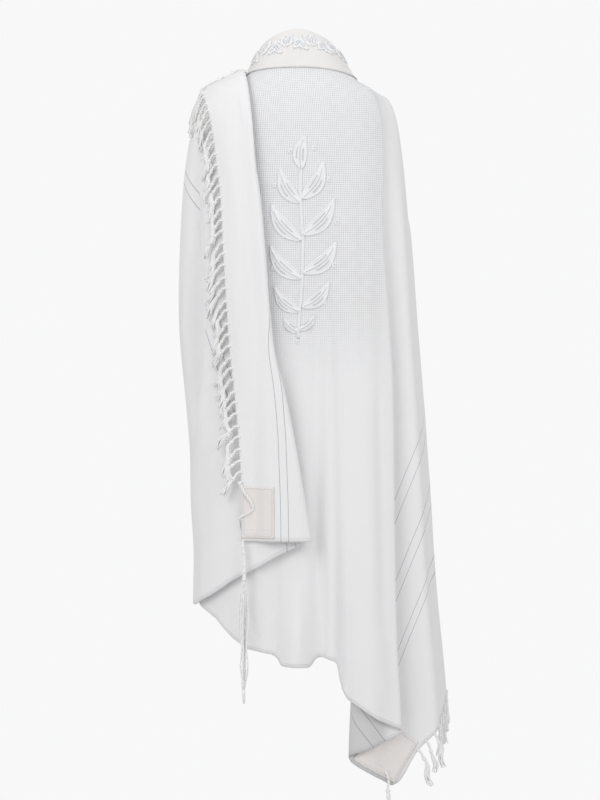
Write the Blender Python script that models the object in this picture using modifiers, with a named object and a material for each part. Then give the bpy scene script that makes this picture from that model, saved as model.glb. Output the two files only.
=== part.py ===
"""Fringed prayer shawl, worn round the shoulders with its left end thrown back.

Metres, +Z up. The wearer faces +Y and +X is the wearer's right side. The origin
is at the nape, where the wearer holds the shawl up. The cloth is one rectangle
in three stretches: the back with the right wing, the left wing round the arm,
and the end of the left wing that lies back over the left shoulder.
"""
import math
from collections import namedtuple

import bmesh
import bpy
from mathutils import Vector
from mathutils.bvhtree import BVHTree

# Driving sizes in metres
CLOTH_WALL = 0.0018
BAND_WALL = 0.0012
PATCH_WALL = 0.0011
TASSEL_PITCH = 0.022
TASSEL_LENGTH = 0.056
LONG_TASSEL_HEAD = 0.066
LONG_TASSEL_STRANDS = 0.205
RING_SQUARENESS = 2.6
# How the neck edge falls from the nape to the sides: under 2 is a peak.
NECK_FALL = 1.4

# Rings of the draped cloth round a general figure, from the neck edge down.
# Heights are given at the back, at both sides and at the front.
Ring = namedtuple("Ring", "name back_z left_z right_z front_z left right back front")
RINGS = (
    Ring("neck edge", 0.068, 0.039, 0.034, -0.056, 0.072, 0.077, 0.062, 0.070),
    Ring("band edge", -0.008, -0.013, -0.021, -0.098, 0.100, 0.114, 0.092, 0.094),
    Ring("upper back", -0.050, -0.034, -0.038, -0.132, 0.134, 0.148, 0.112, 0.112),
    Ring("shoulder", -0.093, -0.053, -0.055, -0.160, 0.167, 0.174, 0.124, 0.122),
    Ring("arm top", -0.138, -0.096, -0.100, -0.182, 0.190, 0.192, 0.130, 0.130),
    Ring("upper arm", -0.200, -0.200, -0.200, -0.200, 0.207, 0.206, 0.133, 0.136),
    Ring("chest", -0.350, -0.350, -0.350, -0.350, 0.214, 0.219, 0.134, 0.142),
    Ring("elbow", -0.500, -0.500, -0.500, -0.500, 0.214, 0.229, 0.133, 0.146),
    Ring("forearm", -0.650, -0.650, -0.650, -0.650, 0.201, 0.240, 0.134, 0.146),
    Ring("hip", -0.800, -0.800, -0.800, -0.800, 0.193, 0.250, 0.136, 0.144),
    Ring("thigh", -1.000, -1.000, -1.000, -1.000, 0.197, 0.262, 0.139, 0.142),
    Ring("knee", -1.200, -1.200, -1.200, -1.200, 0.205, 0.281, 0.142, 0.142),
    Ring("calf", -1.400, -1.400, -1.400, -1.400, 0.210, 0.292, 0.144, 0.142),
)
BODY_RING = 5
FRONT_EDGE_DEG = 163.0

# Soft folds of the back: places across the back in metres, positive depth is a
# ridge towards the outside.
Fold = namedtuple("Fold", "name x_top x_hem width depth_top depth_hem start_z full_z")
BACK_FOLDS = (
    Fold("hem roll", 0.002, -0.003, 0.026, 0.000, 0.026, -0.90, -1.12),
    Fold("left of roll", -0.040, -0.046, 0.013, 0.000, -0.010, -0.90, -1.12),
    Fold("right of roll", 0.036, 0.039, 0.013, 0.000, -0.012, -0.52, -1.05),
    Fold("middle ridge", 0.060, 0.063, 0.015, 0.000, 0.011, -0.60, -1.05),
    Fold("middle valley", 0.086, 0.088, 0.011, 0.000, -0.012, -0.82, -1.10),
    Fold("right ridge", 0.115, 0.135, 0.026, 0.003, 0.014, -0.20, -1.10),
    Fold("left ridge", -0.110, -0.125, 0.030, 0.000, 0.008, -0.95, -1.08),
)
# Soft folds round the right arm and the front: places as angles round the ring.
SIDE_FOLDS = (
    Fold("arm back", 62.0, 60.0, 7.0, 0.004, 0.012, -0.15, -1.10),
    Fold("arm side", 88.0, 92.0, 7.0, 0.003, 0.008, -0.30, -1.00),
    Fold("arm crease", 103.0, 106.0, 6.0, -0.006, -0.022, -0.18, -0.80),
    Fold("front swell", 120.0, 121.0, 7.0, 0.004, 0.014, -0.20, -0.80),
    Fold("front crease", 136.0, 136.0, 6.0, -0.006, -0.018, -0.20, -0.80),
    Fold("front edge swell", 152.0, 150.0, 7.0, 0.004, 0.012, -0.22, -0.70),
    Fold("left front crease", -136.0, -134.0, 7.0, -0.006, -0.014, -0.22, -0.60),
)

# The deep fold right of the back: where its outer edge runs, how far the cloth
# doubles back behind it, and how deep the stack is.
DeepFold = namedtuple("DeepFold", "height x_edge overlap depth")
DEEP_FOLD = (
    DeepFold(0.08, 0.046, 0.001, 0.001),
    DeepFold(-0.04, 0.128, 0.002, 0.002),
    DeepFold(-0.10, 0.152, 0.004, 0.006),
    DeepFold(-0.30, 0.161, 0.010, 0.013),
    DeepFold(-0.60, 0.180, 0.026, 0.017),
    DeepFold(-0.90, 0.184, 0.052, 0.020),
    DeepFold(-1.10, 0.188, 0.078, 0.022),
    DeepFold(-1.26, 0.196, 0.096, 0.024),
    DeepFold(-1.40, 0.197, 0.100, 0.024),
)

# Hem of the back: height against place across the back, up to the deep fold.
Hem = namedtuple("Hem", "name place z")
BACK_HEM = (
    Hem("left silhouette", -0.203, -1.033),
    Hem("under the flap", -0.165, -1.054),
    Hem("far left", -0.127, -1.089),
    Hem("left", -0.101, -1.108),
    Hem("left of roll", -0.052, -1.119),
    Hem("roll begins", -0.040, -1.125),
    Hem("roll left", -0.032, -1.139),
    Hem("roll right", 0.024, -1.141),
    Hem("roll ends", 0.038, -1.125),
    Hem("right of roll", 0.051, -1.123),
    Hem("middle", 0.078, -1.132),
    Hem("drop", 0.086, -1.178),
    Hem("drop turns", 0.096, -1.201),
    Hem("right", 0.153, -1.241),
    Hem("outer fold", 0.196, -1.260),
)
# Hem round the right arm, by angle round the ring, from the inner fold to the
# front edge. The long hem ends at the corner and the fringed edge climbs.
RIGHT_HEM = (
    Hem("inner fold", 16.0, -1.312),
    Hem("corner", 36.0, -1.371),
    Hem("past the corner", 40.0, -1.357),
    Hem("patch end", 50.0, -1.304),
    Hem("arm back", 61.0, -1.266),
    Hem("arm side", 78.0, -1.238),
    Hem("arm front", 100.0, -1.180),
    Hem("front", 130.0, -1.030),
    Hem("front edge", 163.0, -0.930),
)
# Lower edge of the cloth on the left, by angle, from the back to the front.
LEFT_HEM = (
    Hem("left silhouette", -80.0, -1.033),
    Hem("fold end", -86.0, -0.960),
    Hem("below the elbow", -93.0, -0.770),
    Hem("arm front", -110.0, -0.748),
    Hem("front", -140.0, -0.765),
    Hem("front edge", -163.0, -0.740),
)


# The crease behind the left arm, by angle round the ring, and the swell that
# stands over it on the side of the back.
ArmCrease = namedtuple("ArmCrease", "height swell crease depth")
ARM_CREASE = (
    ArmCrease(-0.10, -45.0, -54.0, 0.000),
    ArmCrease(-0.22, -43.0, -53.5, -0.014),
    ArmCrease(-0.35, -42.0, -53.5, -0.030),
    ArmCrease(-0.50, -46.0, -57.5, -0.034),
    ArmCrease(-0.62, -56.0, -67.0, -0.028),
    ArmCrease(-0.70, -66.0, -75.0, -0.014),
    ArmCrease(-0.78, -73.0, -82.0, 0.000),
)
CREASE_WIDTH = 8.0
INNER_CREASE = 1.25

# The end thrown over the shoulder: its folded edge and its fringed edge.
FlapEdge = namedtuple("FlapEdge", "height x_fold x_fringe")
FLAP_EDGES = (
    FlapEdge(-0.04, -0.100, -0.172),
    FlapEdge(-0.08, -0.095, -0.167),
    FlapEdge(-0.17, -0.082, -0.149),
    FlapEdge(-0.23, -0.072, -0.140),
    FlapEdge(-0.36, -0.059, -0.132),
    FlapEdge(-0.48, -0.050, -0.125),
    FlapEdge(-0.55, -0.042, -0.120),
    FlapEdge(-0.63, -0.023, -0.111),
    FlapEdge(-0.71, -0.007, -0.104),
    FlapEdge(-0.81, 0.010, -0.099),
    FlapEdge(-0.91, 0.026, -0.099),
)
FLAP_FOLDS = (
    Fold("long trough", -0.100, -0.076, 0.015, -0.004, -0.007, -0.10, -0.60),
    Fold("fold swell", -0.072, 0.000, 0.016, 0.000, 0.004, -0.20, -0.90),
    Fold("fringe swell", -0.140, -0.105, 0.014, 0.001, 0.003, -0.15, -0.60),
)
# How far each layer on the left lies outside the back panel.
Layer = namedtuple("Layer", "height wing flap")
LAYERS = (
    Layer(0.000, 0.0059, 0.0176),
    Layer(-0.100, 0.0100, 0.0230),
    Layer(-0.200, 0.0125, 0.0270),
    Layer(-0.350, 0.0150, 0.0310),
    Layer(-0.920, 0.0150, 0.0320),
)
# Lower edge of the left wing behind the flap, across the back.
WING_HEM = (
    Hem("under the flap fold", 0.006, -0.913),
    Hem("right", -0.033, -0.930),
    Hem("middle", -0.071, -0.951),
    Hem("left of the flap", -0.127, -0.981),
    Hem("left", -0.165, -1.009),
    Hem("left silhouette", -0.203, -1.033),
)
# Below the elbow the left wing closes on the back panel at the silhouette.
WING_CLOSED = 0.0060


def smooth(value):
    """Ease between 0 and 1."""
    value = min(max(value, 0.0), 1.0)
    return value * value * (3.0 - 2.0 * value)


def between(low, high, share):
    return low + (high - low) * share


def read_table(rows, key, column, at):
    """Read a column between two rows of a table, in straight steps."""
    ordered = sorted(rows, key=lambda row: getattr(row, key))
    if at <= getattr(ordered[0], key):
        return getattr(ordered[0], column)
    for low, high in zip(ordered, ordered[1:]):
        if at <= getattr(high, key):
            share = (at - getattr(low, key)) / (getattr(high, key) - getattr(low, key))
            return between(getattr(low, column), getattr(high, column), share)
    return getattr(ordered[-1], column)


def ring_value(column, level):
    """Read a ring column at a level, on a smooth curve through the rings."""
    level = min(max(level, 0.0), len(RINGS) - 1.001)
    index = int(level)
    share = level - index
    values = [getattr(RINGS[min(max(index + step, 0), len(RINGS) - 1)], column)
              for step in (-1, 0, 1, 2)]
    before, low, high, after = values
    slope_low = (high - before) * 0.5
    slope_high = (after - low) * 0.5
    if column.endswith("_z"):
        # Heights of the lower rings are level all round, so they stay straight.
        if index >= BODY_RING:
            return between(low, high, share)
    square, cube = share * share, share ** 3
    return (low * (2 * cube - 3 * square + 1) + slope_low * (cube - 2 * square + share)
            + high * (3 * square - 2 * cube) + slope_high * (cube - square))


def level_at(height):
    """Level of a height on the lower rings, where the rings are flat."""
    for index in range(BODY_RING, len(RINGS) - 1):
        top, foot = RINGS[index].back_z, RINGS[index + 1].back_z
        if height >= foot:
            return index + (top - height) / (top - foot)
    return len(RINGS) - 1.001


def half_width(level, degrees):
    return ring_value("right" if degrees >= 0 else "left", level)


def angle_at(x, level):
    """Angle round the ring, in degrees, of a place across the back."""
    share = min(abs(x) / half_width(level, x), 1.0)
    return math.copysign(math.degrees(math.asin(share ** (RING_SQUARENESS / 2))), x)


def plain_point(degrees, level):
    """Point of the plain ring, with 0 degrees at the back and 180 in front."""
    angle = math.radians(degrees)
    side, fore = math.sin(angle), math.cos(angle)
    power = 2.0 / RING_SQUARENESS
    x = math.copysign(half_width(level, degrees) * abs(side) ** power, side)
    depth = ring_value("back", level) if fore >= 0 else ring_value("front", level)
    y = -math.copysign(depth * abs(fore) ** power, fore)
    side_z = ring_value("right_z" if degrees >= 0 else "left_z", level)
    end_z = ring_value("back_z" if fore >= 0 else "front_z", level)
    fall = between(NECK_FALL, 2.0, min(level / 2, 1.0))
    return Vector((x, y, between(end_z, side_z, abs(side) ** fall)))


def outward(degrees, level):
    """Direction away from the figure, across the cloth."""
    step = 1.5
    along = plain_point(degrees + step, level) - plain_point(degrees - step, level)
    low, high = max(level - 0.05, 0.0), min(level + 0.05, len(RINGS) - 1.002)
    down = plain_point(degrees, high) - plain_point(degrees, low)
    normal = along.cross(down)
    if normal.length < 1e-9:
        return Vector((0, 0, 1))
    normal.normalize()
    middle = Vector((0, 0, plain_point(degrees, level).z - 0.05))
    if normal.dot(plain_point(degrees, level) - middle) < 0:
        normal.negate()
    return normal


def fold_depth(folds, place, height):
    """Sum of the soft folds at a place and height."""
    total = 0.0
    for fold in folds:
        share = (fold.start_z - height) / (fold.start_z - fold.full_z)
        if share <= 0:
            continue
        grown = smooth(share)
        centre = between(fold.x_top, fold.x_hem, grown)
        depth = between(fold.depth_top, fold.depth_hem, grown)
        total += depth * math.exp(-((place - centre) / fold.width) ** 2)
    return total


def cloth_point(degrees, level, out=0.0, outer_layer=False):
    """Point of the draped cloth, moved out by a distance."""
    base = plain_point(degrees, level)
    depth = fold_depth(SIDE_FOLDS, degrees, base.z)
    if abs(degrees) < 80 and not outer_layer:
        depth += fold_depth(BACK_FOLDS, base.x, base.z)
    inner = 1.0 if outer_layer else INNER_CREASE
    crease = read_table(ARM_CREASE, "height", "crease", base.z)
    away = (degrees - crease) / CREASE_WIDTH
    depth += read_table(ARM_CREASE, "height", "depth", base.z) * math.exp(-away * away) * inner
    return base + outward(degrees, level) * (depth + out)


def grid_mesh(rows):
    """Open sheet through rows of points of equal length."""
    mesh = bmesh.new()
    verts = [[mesh.verts.new(point) for point in row] for row in rows]
    for upper, lower in zip(verts, verts[1:]):
        for index in range(len(upper) - 1):
            mesh.faces.new((upper[index], lower[index], lower[index + 1], upper[index + 1]))
    return mesh


def add_object(name, mesh, material, wall=None, parent=None):
    """Put a mesh in the part's collection, with a wall if it is a sheet."""
    data = bpy.data.meshes.new(name)
    mesh.to_mesh(data)
    mesh.free()
    data.materials.append(material)
    for polygon in data.polygons:
        polygon.use_smooth = True
    piece = bpy.data.objects.new(name, data)
    bpy.data.collections[COLLECTION].objects.link(piece)
    if wall:
        solid = piece.modifiers.new("wall", "SOLIDIFY")
        solid.thickness = wall
        solid.offset = 0.0
    piece.parent = parent
    return piece


def make_material(name, colour, roughness):
    material = bpy.data.materials.new(name)
    material.use_nodes = True
    shader = material.node_tree.nodes["Principled BSDF"]
    shader.inputs["Base Color"].default_value = (*colour, 1.0)
    shader.inputs["Roughness"].default_value = roughness
    shader.inputs["Metallic"].default_value = 0.0
    return material


COLLECTION = "prayer shawl"

# Back panel and right wing
BACK_COLUMNS = 27
LEFT_ANGLES = (-163.0, -153.0, -142.0, -131.0, -120.0, -109.0, -99.0, -90.0, -82.0)
YOKE_LEVELS = (0.0, 0.28, 0.62, 1.0, 1.5, 2.0, 2.5, 3.0, 3.5, 4.0, 4.5, 5.0)
BODY_ROWS = 15
# The stack of the deep fold: share of the overlap and of the depth, from the
# outer edge to the inner fold and on behind.
Turn = namedtuple("Turn", "name shift depth")
DEEP_FOLD_STACK = (
    Turn("outer edge nears", -0.050, 0.000),
    Turn("outer edge", 0.000, 0.130),
    Turn("outer edge turned", -0.045, 0.330),
    Turn("doubled back", -0.360, 0.440),
    Turn("half way back", -0.660, 0.500),
    Turn("inner fold nears", -0.945, 0.560),
    Turn("inner fold", -1.000, 0.760),
    Turn("inner fold turned", -0.945, 0.960),
    Turn("forward again", -0.600, 1.000),
    Turn("behind the edge", -0.120, 1.000),
)
RIGHT_STEPS = (0.0, 0.08, 0.17, 0.26, 0.35, 0.44, 0.53, 0.62, 0.71, 0.80, 0.90, 1.0)


def deep_fold(column, height):
    return read_table(DEEP_FOLD, "height", column, height)


def stack_spread(overlap):
    """Spacing of the fold's columns near the neck, where nothing overlaps."""
    return max(0.0, 0.012 - overlap) * 0.2


def back_panel_row(level_of, out=0.0):
    """One row of the back panel, from the left front edge to the right one.

    level_of gives the ring level of a column from its key: a place across the
    back, an angle or a step of the deep fold.
    """
    row = []
    for degrees in LEFT_ANGLES:
        row.append(cloth_point(degrees, level_of("left", degrees), out))
    for index in range(BACK_COLUMNS):
        share = index / (BACK_COLUMNS - 1)
        level = level_of("back", share)
        edge = deep_fold("x_edge", plain_point(20.0, level).z) - 0.006
        left = -0.945 * half_width(level, -1)
        x = between(left, edge, share)
        row.append(cloth_point(angle_at(x, level), level, out))
    for index, turn in enumerate(DEEP_FOLD_STACK):
        level = level_of("stack", index / (len(DEEP_FOLD_STACK) - 1))
        height = plain_point(20.0, level).z
        edge, overlap = deep_fold("x_edge", height), deep_fold("overlap", height)
        x = edge + turn.shift * overlap + index * stack_spread(overlap)
        drop = turn.depth * deep_fold("depth", height)
        row.append(cloth_point(angle_at(x, level), level, out - drop))
    for index, share in enumerate(RIGHT_STEPS):
        level = level_of("right", share)
        height = plain_point(20.0, level).z
        overlap = deep_fold("overlap", height)
        start = deep_fold("x_edge", height) + len(DEEP_FOLD_STACK) * stack_spread(overlap) + 0.002
        first = angle_at(start, level)
        degrees = between(first, FRONT_EDGE_DEG, share)
        drop = deep_fold("depth", height) * (1.0 - smooth((share - 0.02) / 0.16))
        row.append(cloth_point(degrees, level, out - drop))
    return row


def back_hem_height(kind, key):
    """Height of the lower edge for one column."""
    if kind == "left":
        return read_table(LEFT_HEM, "place", "z", key)
    if kind == "back":
        x = between(BACK_HEM[0].place, BACK_HEM[-1].place, key)
        return read_table(BACK_HEM, "place", "z", x)
    if kind == "stack":
        outer, inner = BACK_HEM[-1].z, RIGHT_HEM[0].z
        corner = RIGHT_HEM[1].z
        if key < 0.67:
            return between(outer, inner, smooth(key / 0.67))
        return between(inner, corner, ((key - 0.67) / 0.33) ** 1.4)
    return read_table(RIGHT_HEM, "place", "z", between(40.0, FRONT_EDGE_DEG, key))


def back_panel_rows():
    rows = [back_panel_row(lambda kind, key, level=level: level) for level in YOKE_LEVELS]
    top = RINGS[BODY_RING].back_z
    for step in range(1, BODY_ROWS + 1):
        share = step / BODY_ROWS

        def level_of(kind, key, share=share):
            return level_at(between(top, back_hem_height(kind, key), share))

        rows.append(back_panel_row(level_of))
    return rows


# Left wing
WING_TOP_LEVEL = 1.16
WING_YOKE_LEVELS = (WING_TOP_LEVEL, 1.5, 2.0, 2.5, 3.0, 3.5, 4.0, 4.5, 5.0)
WING_BACK_COLUMNS = 12
WING_SIDE_COLUMNS = 16
WING_ROWS = 12
WING_START = 0.0225


def wing_row(level_of):
    """One row of the left wing, from under the flap's fold to the front edge."""
    row = []
    for index in range(WING_BACK_COLUMNS + WING_SIDE_COLUMNS):
        level = level_of(index)
        height = plain_point(-40.0, level).z
        start_x = read_table(FLAP_EDGES, "height", "x_fold", height) - WING_START
        first = angle_at(start_x, level) if start_x > -half_width(level, -1) else -90.0
        swell = min(read_table(ARM_CREASE, "height", "swell", height), first - 12.0)
        if index < WING_BACK_COLUMNS:
            share = index / WING_BACK_COLUMNS
            if first > -80.0:
                ends = [plain_point(angle, level).x for angle in (first, swell)]
                degrees = angle_at(between(*ends, share), level)
            else:
                degrees = between(first, swell, share)
        else:
            share = (index - WING_BACK_COLUMNS) / (WING_SIDE_COLUMNS - 1)
            degrees = between(swell, -FRONT_EDGE_DEG, share)
        closed = smooth((-degrees - 56.0) / 14.0) * smooth((-height - 0.82) / 0.14)
        out = between(read_table(LAYERS, "height", "wing", height), WING_CLOSED, closed)
        row.append(cloth_point(degrees, level, out, outer_layer=True))
    return row


def wing_hem_height(index):
    if index <= WING_BACK_COLUMNS:
        x = between(WING_HEM[0].place, WING_HEM[-1].place, index / WING_BACK_COLUMNS)
        return read_table(WING_HEM, "place", "z", x)
    share = (index - WING_BACK_COLUMNS) / (WING_SIDE_COLUMNS - 1)
    degrees = between(ARM_CREASE[-1].swell, -FRONT_EDGE_DEG, share)
    return read_table(LEFT_HEM, "place", "z", degrees)


def wing_rows():
    rows = [wing_row(lambda index, level=level: level) for level in WING_YOKE_LEVELS]
    top = RINGS[BODY_RING].back_z
    for step in range(1, WING_ROWS + 1):
        share = step / WING_ROWS
        rows.append(wing_row(
            lambda index, share=share: level_at(between(top, wing_hem_height(index), share))))
    return rows


# Thrown flap
FLAP_HEM_Z = -0.905
FLAP_TAIL_Z = -0.310
FLAP_BODY_ROWS = 12
FLAP_CREST_ROWS = 6
FLAP_COLUMNS = 9
FLAP_LIES_ON_Z = -0.20
# The flap's folded edge, seen in section: behind, round the turn and out.
FoldStep = namedtuple("FoldStep", "name inwards layer")
FOLD_STEPS = (
    FoldStep("end behind", 0.0205, 0.00),
    FoldStep("behind", 0.0120, 0.00),
    FoldStep("turn begins", 0.0035, 0.10),
    FoldStep("turn", 0.0000, 0.50),
    FoldStep("turn ends", 0.0035, 0.90),
    FoldStep("out", 0.0120, 1.00),
)


def level_of_half_width(width):
    """Level on the yoke where the left half width reaches a size."""
    low, high = 0.5, BODY_RING
    for _ in range(30):
        middle = (low + high) / 2
        if half_width(middle, -1) < width:
            low = middle
        else:
            high = middle
    return low


def flap_points(fold_x, fringe_x, place):
    """Points across the flap. place gives angle, level and height of an x."""
    row = []
    for step in FOLD_STEPS:
        row.append((fold_x - step.inwards, step.layer))
    inner = fold_x - FOLD_STEPS[-1].inwards
    for index in range(1, FLAP_COLUMNS + 1):
        row.append((between(inner, fringe_x, index / FLAP_COLUMNS), 1.0))
    points = []
    for x, layer in row:
        degrees, level = place(x)
        height = plain_point(degrees, level).z
        # On the shoulder and in front the whole flap lies on the left wing.
        lies_on = 1.0 if abs(degrees) > 89.0 else smooth((height - FLAP_LIES_ON_Z) / 0.08 + 1.0)
        layer = max(layer, 0.46 * lies_on)
        low = read_table(LAYERS, "height", "wing", height)
        high = read_table(LAYERS, "height", "flap", height)
        out = between(low, high, layer)
        if abs(degrees) < 90.0:
            out += fold_depth(FLAP_FOLDS, x, height) * smooth((layer - 0.5) * 2)
        points.append(cloth_point(degrees, level, out, outer_layer=True))
    return points


def flap_rows():
    """Rows from the hanging front end, over the shoulder, down the back."""
    rows = []
    tail_steps = 2
    body_top = RINGS[BODY_RING].back_z
    for step in range(tail_steps):
        level = level_at(between(FLAP_TAIL_Z, body_top, step / tail_steps))
        rows.append(flap_points(-0.084, -0.140,
                                lambda x, level=level: (-180.0 - angle_at(x, level), level)))
    for step in range(-FLAP_CREST_ROWS, FLAP_CREST_ROWS + 1):
        share = step / FLAP_CREST_ROWS
        front = smooth(-share)
        height = between(-0.045, -0.20, max(share, 0.0) ** 1.5)
        fold_x = between(read_table(FLAP_EDGES, "height", "x_fold", height), -0.084, front)
        fringe_x = between(read_table(FLAP_EDGES, "height", "x_fringe", height), -0.140, front)

        def place(x, share=share):
            crest = level_of_half_width(abs(x))
            level = between(crest, BODY_RING, share * share)
            degrees = angle_at(x, level) if abs(x) < half_width(level, -1) else -90.0
            return (degrees if share >= 0 else -180.0 - degrees), level

        rows.append(flap_points(fold_x, fringe_x, place))
    for step in range(1, FLAP_BODY_ROWS + 1):
        height = between(body_top, FLAP_HEM_Z, step / FLAP_BODY_ROWS)
        level = level_at(height)
        rows.append(flap_points(read_table(FLAP_EDGES, "height", "x_fold", height),
                                read_table(FLAP_EDGES, "height", "x_fringe", height),
                                lambda x, level=level: (angle_at(x, level), level)))
    return rows


# Neckband
BAND_END_COLUMNS = 2
# The band in section, from inside the neck, over the edge and down outside.
BandStep = namedtuple("BandStep", "name level out up")
BAND_STEPS = (
    BandStep("inside edge", 0.28, -0.0036, 0.0),
    BandStep("inner turn", 0.00, -0.0032, 0.0016),
    BandStep("top", 0.00, 0.0000, 0.0034),
    BandStep("outer turn", 0.00, 0.0032, 0.0016),
    BandStep("upper", 0.28, 0.0040, 0.0),
    BandStep("middle", 0.62, 0.0036, 0.0),
    BandStep("lower edge", 1.00, 0.0027, 0.0),
)


def band_rows():
    """The neckband, from the back panel's own columns moved in and out."""
    top = back_panel_row(lambda kind, key: 0.0)
    below = back_panel_row(lambda kind, key: 0.1)
    rows = []
    for step in BAND_STEPS:
        row = back_panel_row(lambda kind, key, step=step: step.level, step.out)
        row = [point + (edge - foot).normalized() * step.up
               for point, edge, foot in zip(row, top, below)]
        rows.append(row[BAND_END_COLUMNS:-BAND_END_COLUMNS])
    return rows


# Corner patches
PATCH_STEPS = 6
# Each patch: its corner in the view across the back (x, z), the directions of
# its sides, its size, the side it is seen from and its height over the cloth.
Patch = namedtuple("Patch", "name x z side_x side_z up_x up_z width height seen_from lift")
PATCHES = (
    Patch("patch_flap", -0.1052, -0.8990, 1.00, 0.00, -0.01, 1.00, 0.062, 0.097, -1, 0.0027),
    Patch("patch_flap_front", -0.1450, -0.3030, 1.00, 0.00, 0.00, 1.00, 0.036, 0.066, 1, 0.0023),
    Patch("patch_right_wing", 0.1785, -1.3665, -0.85, 0.53, 0.505, 0.86, 0.085, 0.086, -1, 0.0042),
    Patch("patch_right_front", 0.1050, -0.9250, 0.85, -0.53, 0.00, 1.00, 0.052, 0.080, 1, 0.0033),
)


def tree_of(rows):
    """Search tree over the facets of a sheet."""
    mesh = grid_mesh(rows)
    bmesh.ops.triangulate(mesh, faces=mesh.faces)
    tree = BVHTree.FromBMesh(mesh)
    mesh.free()
    return tree


def patch_rows(patch, tree):
    rows = []
    for up_step in range(PATCH_STEPS + 1):
        row = []
        for side_step in range(PATCH_STEPS + 1):
            side = patch.width * side_step / PATCH_STEPS
            up = patch.height * up_step / PATCH_STEPS
            x = patch.x + patch.side_x * side + patch.up_x * up
            z = patch.z + patch.side_z * side + patch.up_z * up
            start = Vector((x, patch.seen_from, z))
            point, normal, _, _ = tree.ray_cast(start, Vector((0, -patch.seen_from, 0)))
            if point is None:
                raise ValueError(f"{patch.name} misses its cloth at {x:.3f}, {z:.3f}")
            if normal.y * patch.seen_from < 0:
                normal = -normal
            row.append(point + normal * patch.lift)
        rows.append(row)
    return rows


# Fringes
STRIP_DEEP = 0.0030
STRIP_THICK = 0.0022
# A knotted tassel in section along its length: share of the length, width
# along the edge and thickness.
LockStep = namedtuple("LockStep", "name reach width thick")
LOCK_STEPS = (
    LockStep("knot", 0.28, 0.0050, 0.0042),
    LockStep("end", 1.00, 0.0085, 0.0030),
)


def walk(points, spacing):
    """Points at an even spacing along a chain, with the chain's index."""
    found, left_over = [], 0.0
    for index, (start, end) in enumerate(zip(points, points[1:])):
        length = (end - start).length
        travelled = left_over
        while travelled <= length:
            share = travelled / length
            found.append((start.lerp(end, share), index + share))
            travelled += spacing
        left_over = travelled - length
    return found


def lock_path(root, away, tangent, hang, index):
    """Centres of a tassel's knot and end."""
    down = Vector((0, 0, -1))
    wobble = math.sin(index * 2.4) * 0.12
    first = (away * 0.75 + down * 0.5).normalized()
    fall = (down + away * hang + tangent * wobble).normalized()
    knot = root + first * TASSEL_LENGTH * LOCK_STEPS[0].reach
    end = knot + fall * TASSEL_LENGTH * (1.0 - LOCK_STEPS[0].reach)
    return knot, end


def fringe_mesh(edge, inner, hang, gap):
    """Strip along a cloth edge, with a tassel from every other stretch of it.

    edge is the chain of the cloth's edge, inner the chain one step inside and
    gap the strip's distance from the edge.
    """
    stations = walk(edge, TASSEL_PITCH / 2)
    away_at, side_at = [], []
    for point, place in stations:
        index = min(int(place), len(edge) - 2)
        share = place - index
        within = inner[index].lerp(inner[index + 1], share)
        tangent = (edge[index + 1] - edge[index]).normalized()
        away = point - within
        away = (away - tangent * away.dot(tangent)).normalized()
        away_at.append(away)
        side_at.append(tangent.cross(away).normalized())
    mesh = bmesh.new()
    rings = []
    for (point, _), away, side in zip(stations, away_at, side_at):
        near = point + away * gap
        far = near + away * STRIP_DEEP
        half = side * STRIP_THICK / 2
        rings.append([mesh.verts.new(corner)
                      for corner in (near - half, near + half, far + half, far - half)])
    tangents = [(after[0] - before[0]).normalized()
                for before, after in zip(stations, stations[1:])]
    for index, (first, second) in enumerate(zip(rings, rings[1:])):
        for corner in (0, 1, 3):
            following = (corner + 1) % 4
            mesh.faces.new((first[corner], second[corner], second[following], first[following]))
        if index % 2 == 0:
            mesh.faces.new((first[2], second[2], second[3], first[3]))
            continue
        add_lock(mesh, (first[2], second[2], second[3], first[3]), away_at[index],
                 tangents[index], side_at[index], hang, index)
    mesh.faces.new(list(reversed(rings[0])))
    mesh.faces.new(rings[-1])
    bmesh.ops.recalc_face_normals(mesh, faces=mesh.faces)
    return mesh


def add_lock(mesh, root_ring, away, tangent, side, hang, index):
    """One tassel, grown from a face of its strip."""
    root = sum((vert.co for vert in root_ring), Vector()) / 4
    previous = root_ring
    came_from = root
    for step, centre in zip(LOCK_STEPS, lock_path(root, away, tangent, hang, index)):
        along = (centre - came_from).normalized()
        across = (tangent - along * tangent.dot(along)).normalized()
        thick = along.cross(across)
        if thick.dot(side) < 0:
            thick.negate()
        corners = ((-across, thick), (across, thick), (across, -thick), (-across, -thick))
        ring = [mesh.verts.new(centre + wide * step.width / 2 + deep * step.thick / 2)
                for wide, deep in corners]
        for corner in range(4):
            following = (corner + 1) % 4
            mesh.faces.new((previous[corner], previous[following], ring[following], ring[corner]))
        previous, came_from = ring, centre
    mesh.faces.new(previous)


# Long corner tassels
LONG_TASSEL_RADIUS = 0.0028
LOOP_RADIUS = 0.0013
LOOP_GAP = 0.0005
LONG_STRANDS = 8
STRAND_SPREAD = 0.0038
# Each long tassel: the patch it is tied through, its hole in steps of the
# patch's grid, the step where it leaves the patch's lower side, and how far
# outside that place and below it the head starts.
LongTassel = namedtuple("LongTassel", "name patch hole_side hole_up rim outside below")
LONG_TASSELS = (
    LongTassel("tassel_flap", "patch_flap", 2, 3, 0, 0.0050, 0.013),
    LongTassel("tassel_flap_front", "patch_flap_front", 2, 2, 0, 0.0060, 0.016),
    LongTassel("tassel_right_wing", "patch_right_wing", 2, 1, 1, 0.0060, 0.019),
    LongTassel("tassel_right_front", "patch_right_front", 2, 2, 0, 0.0060, 0.024),
)


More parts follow.
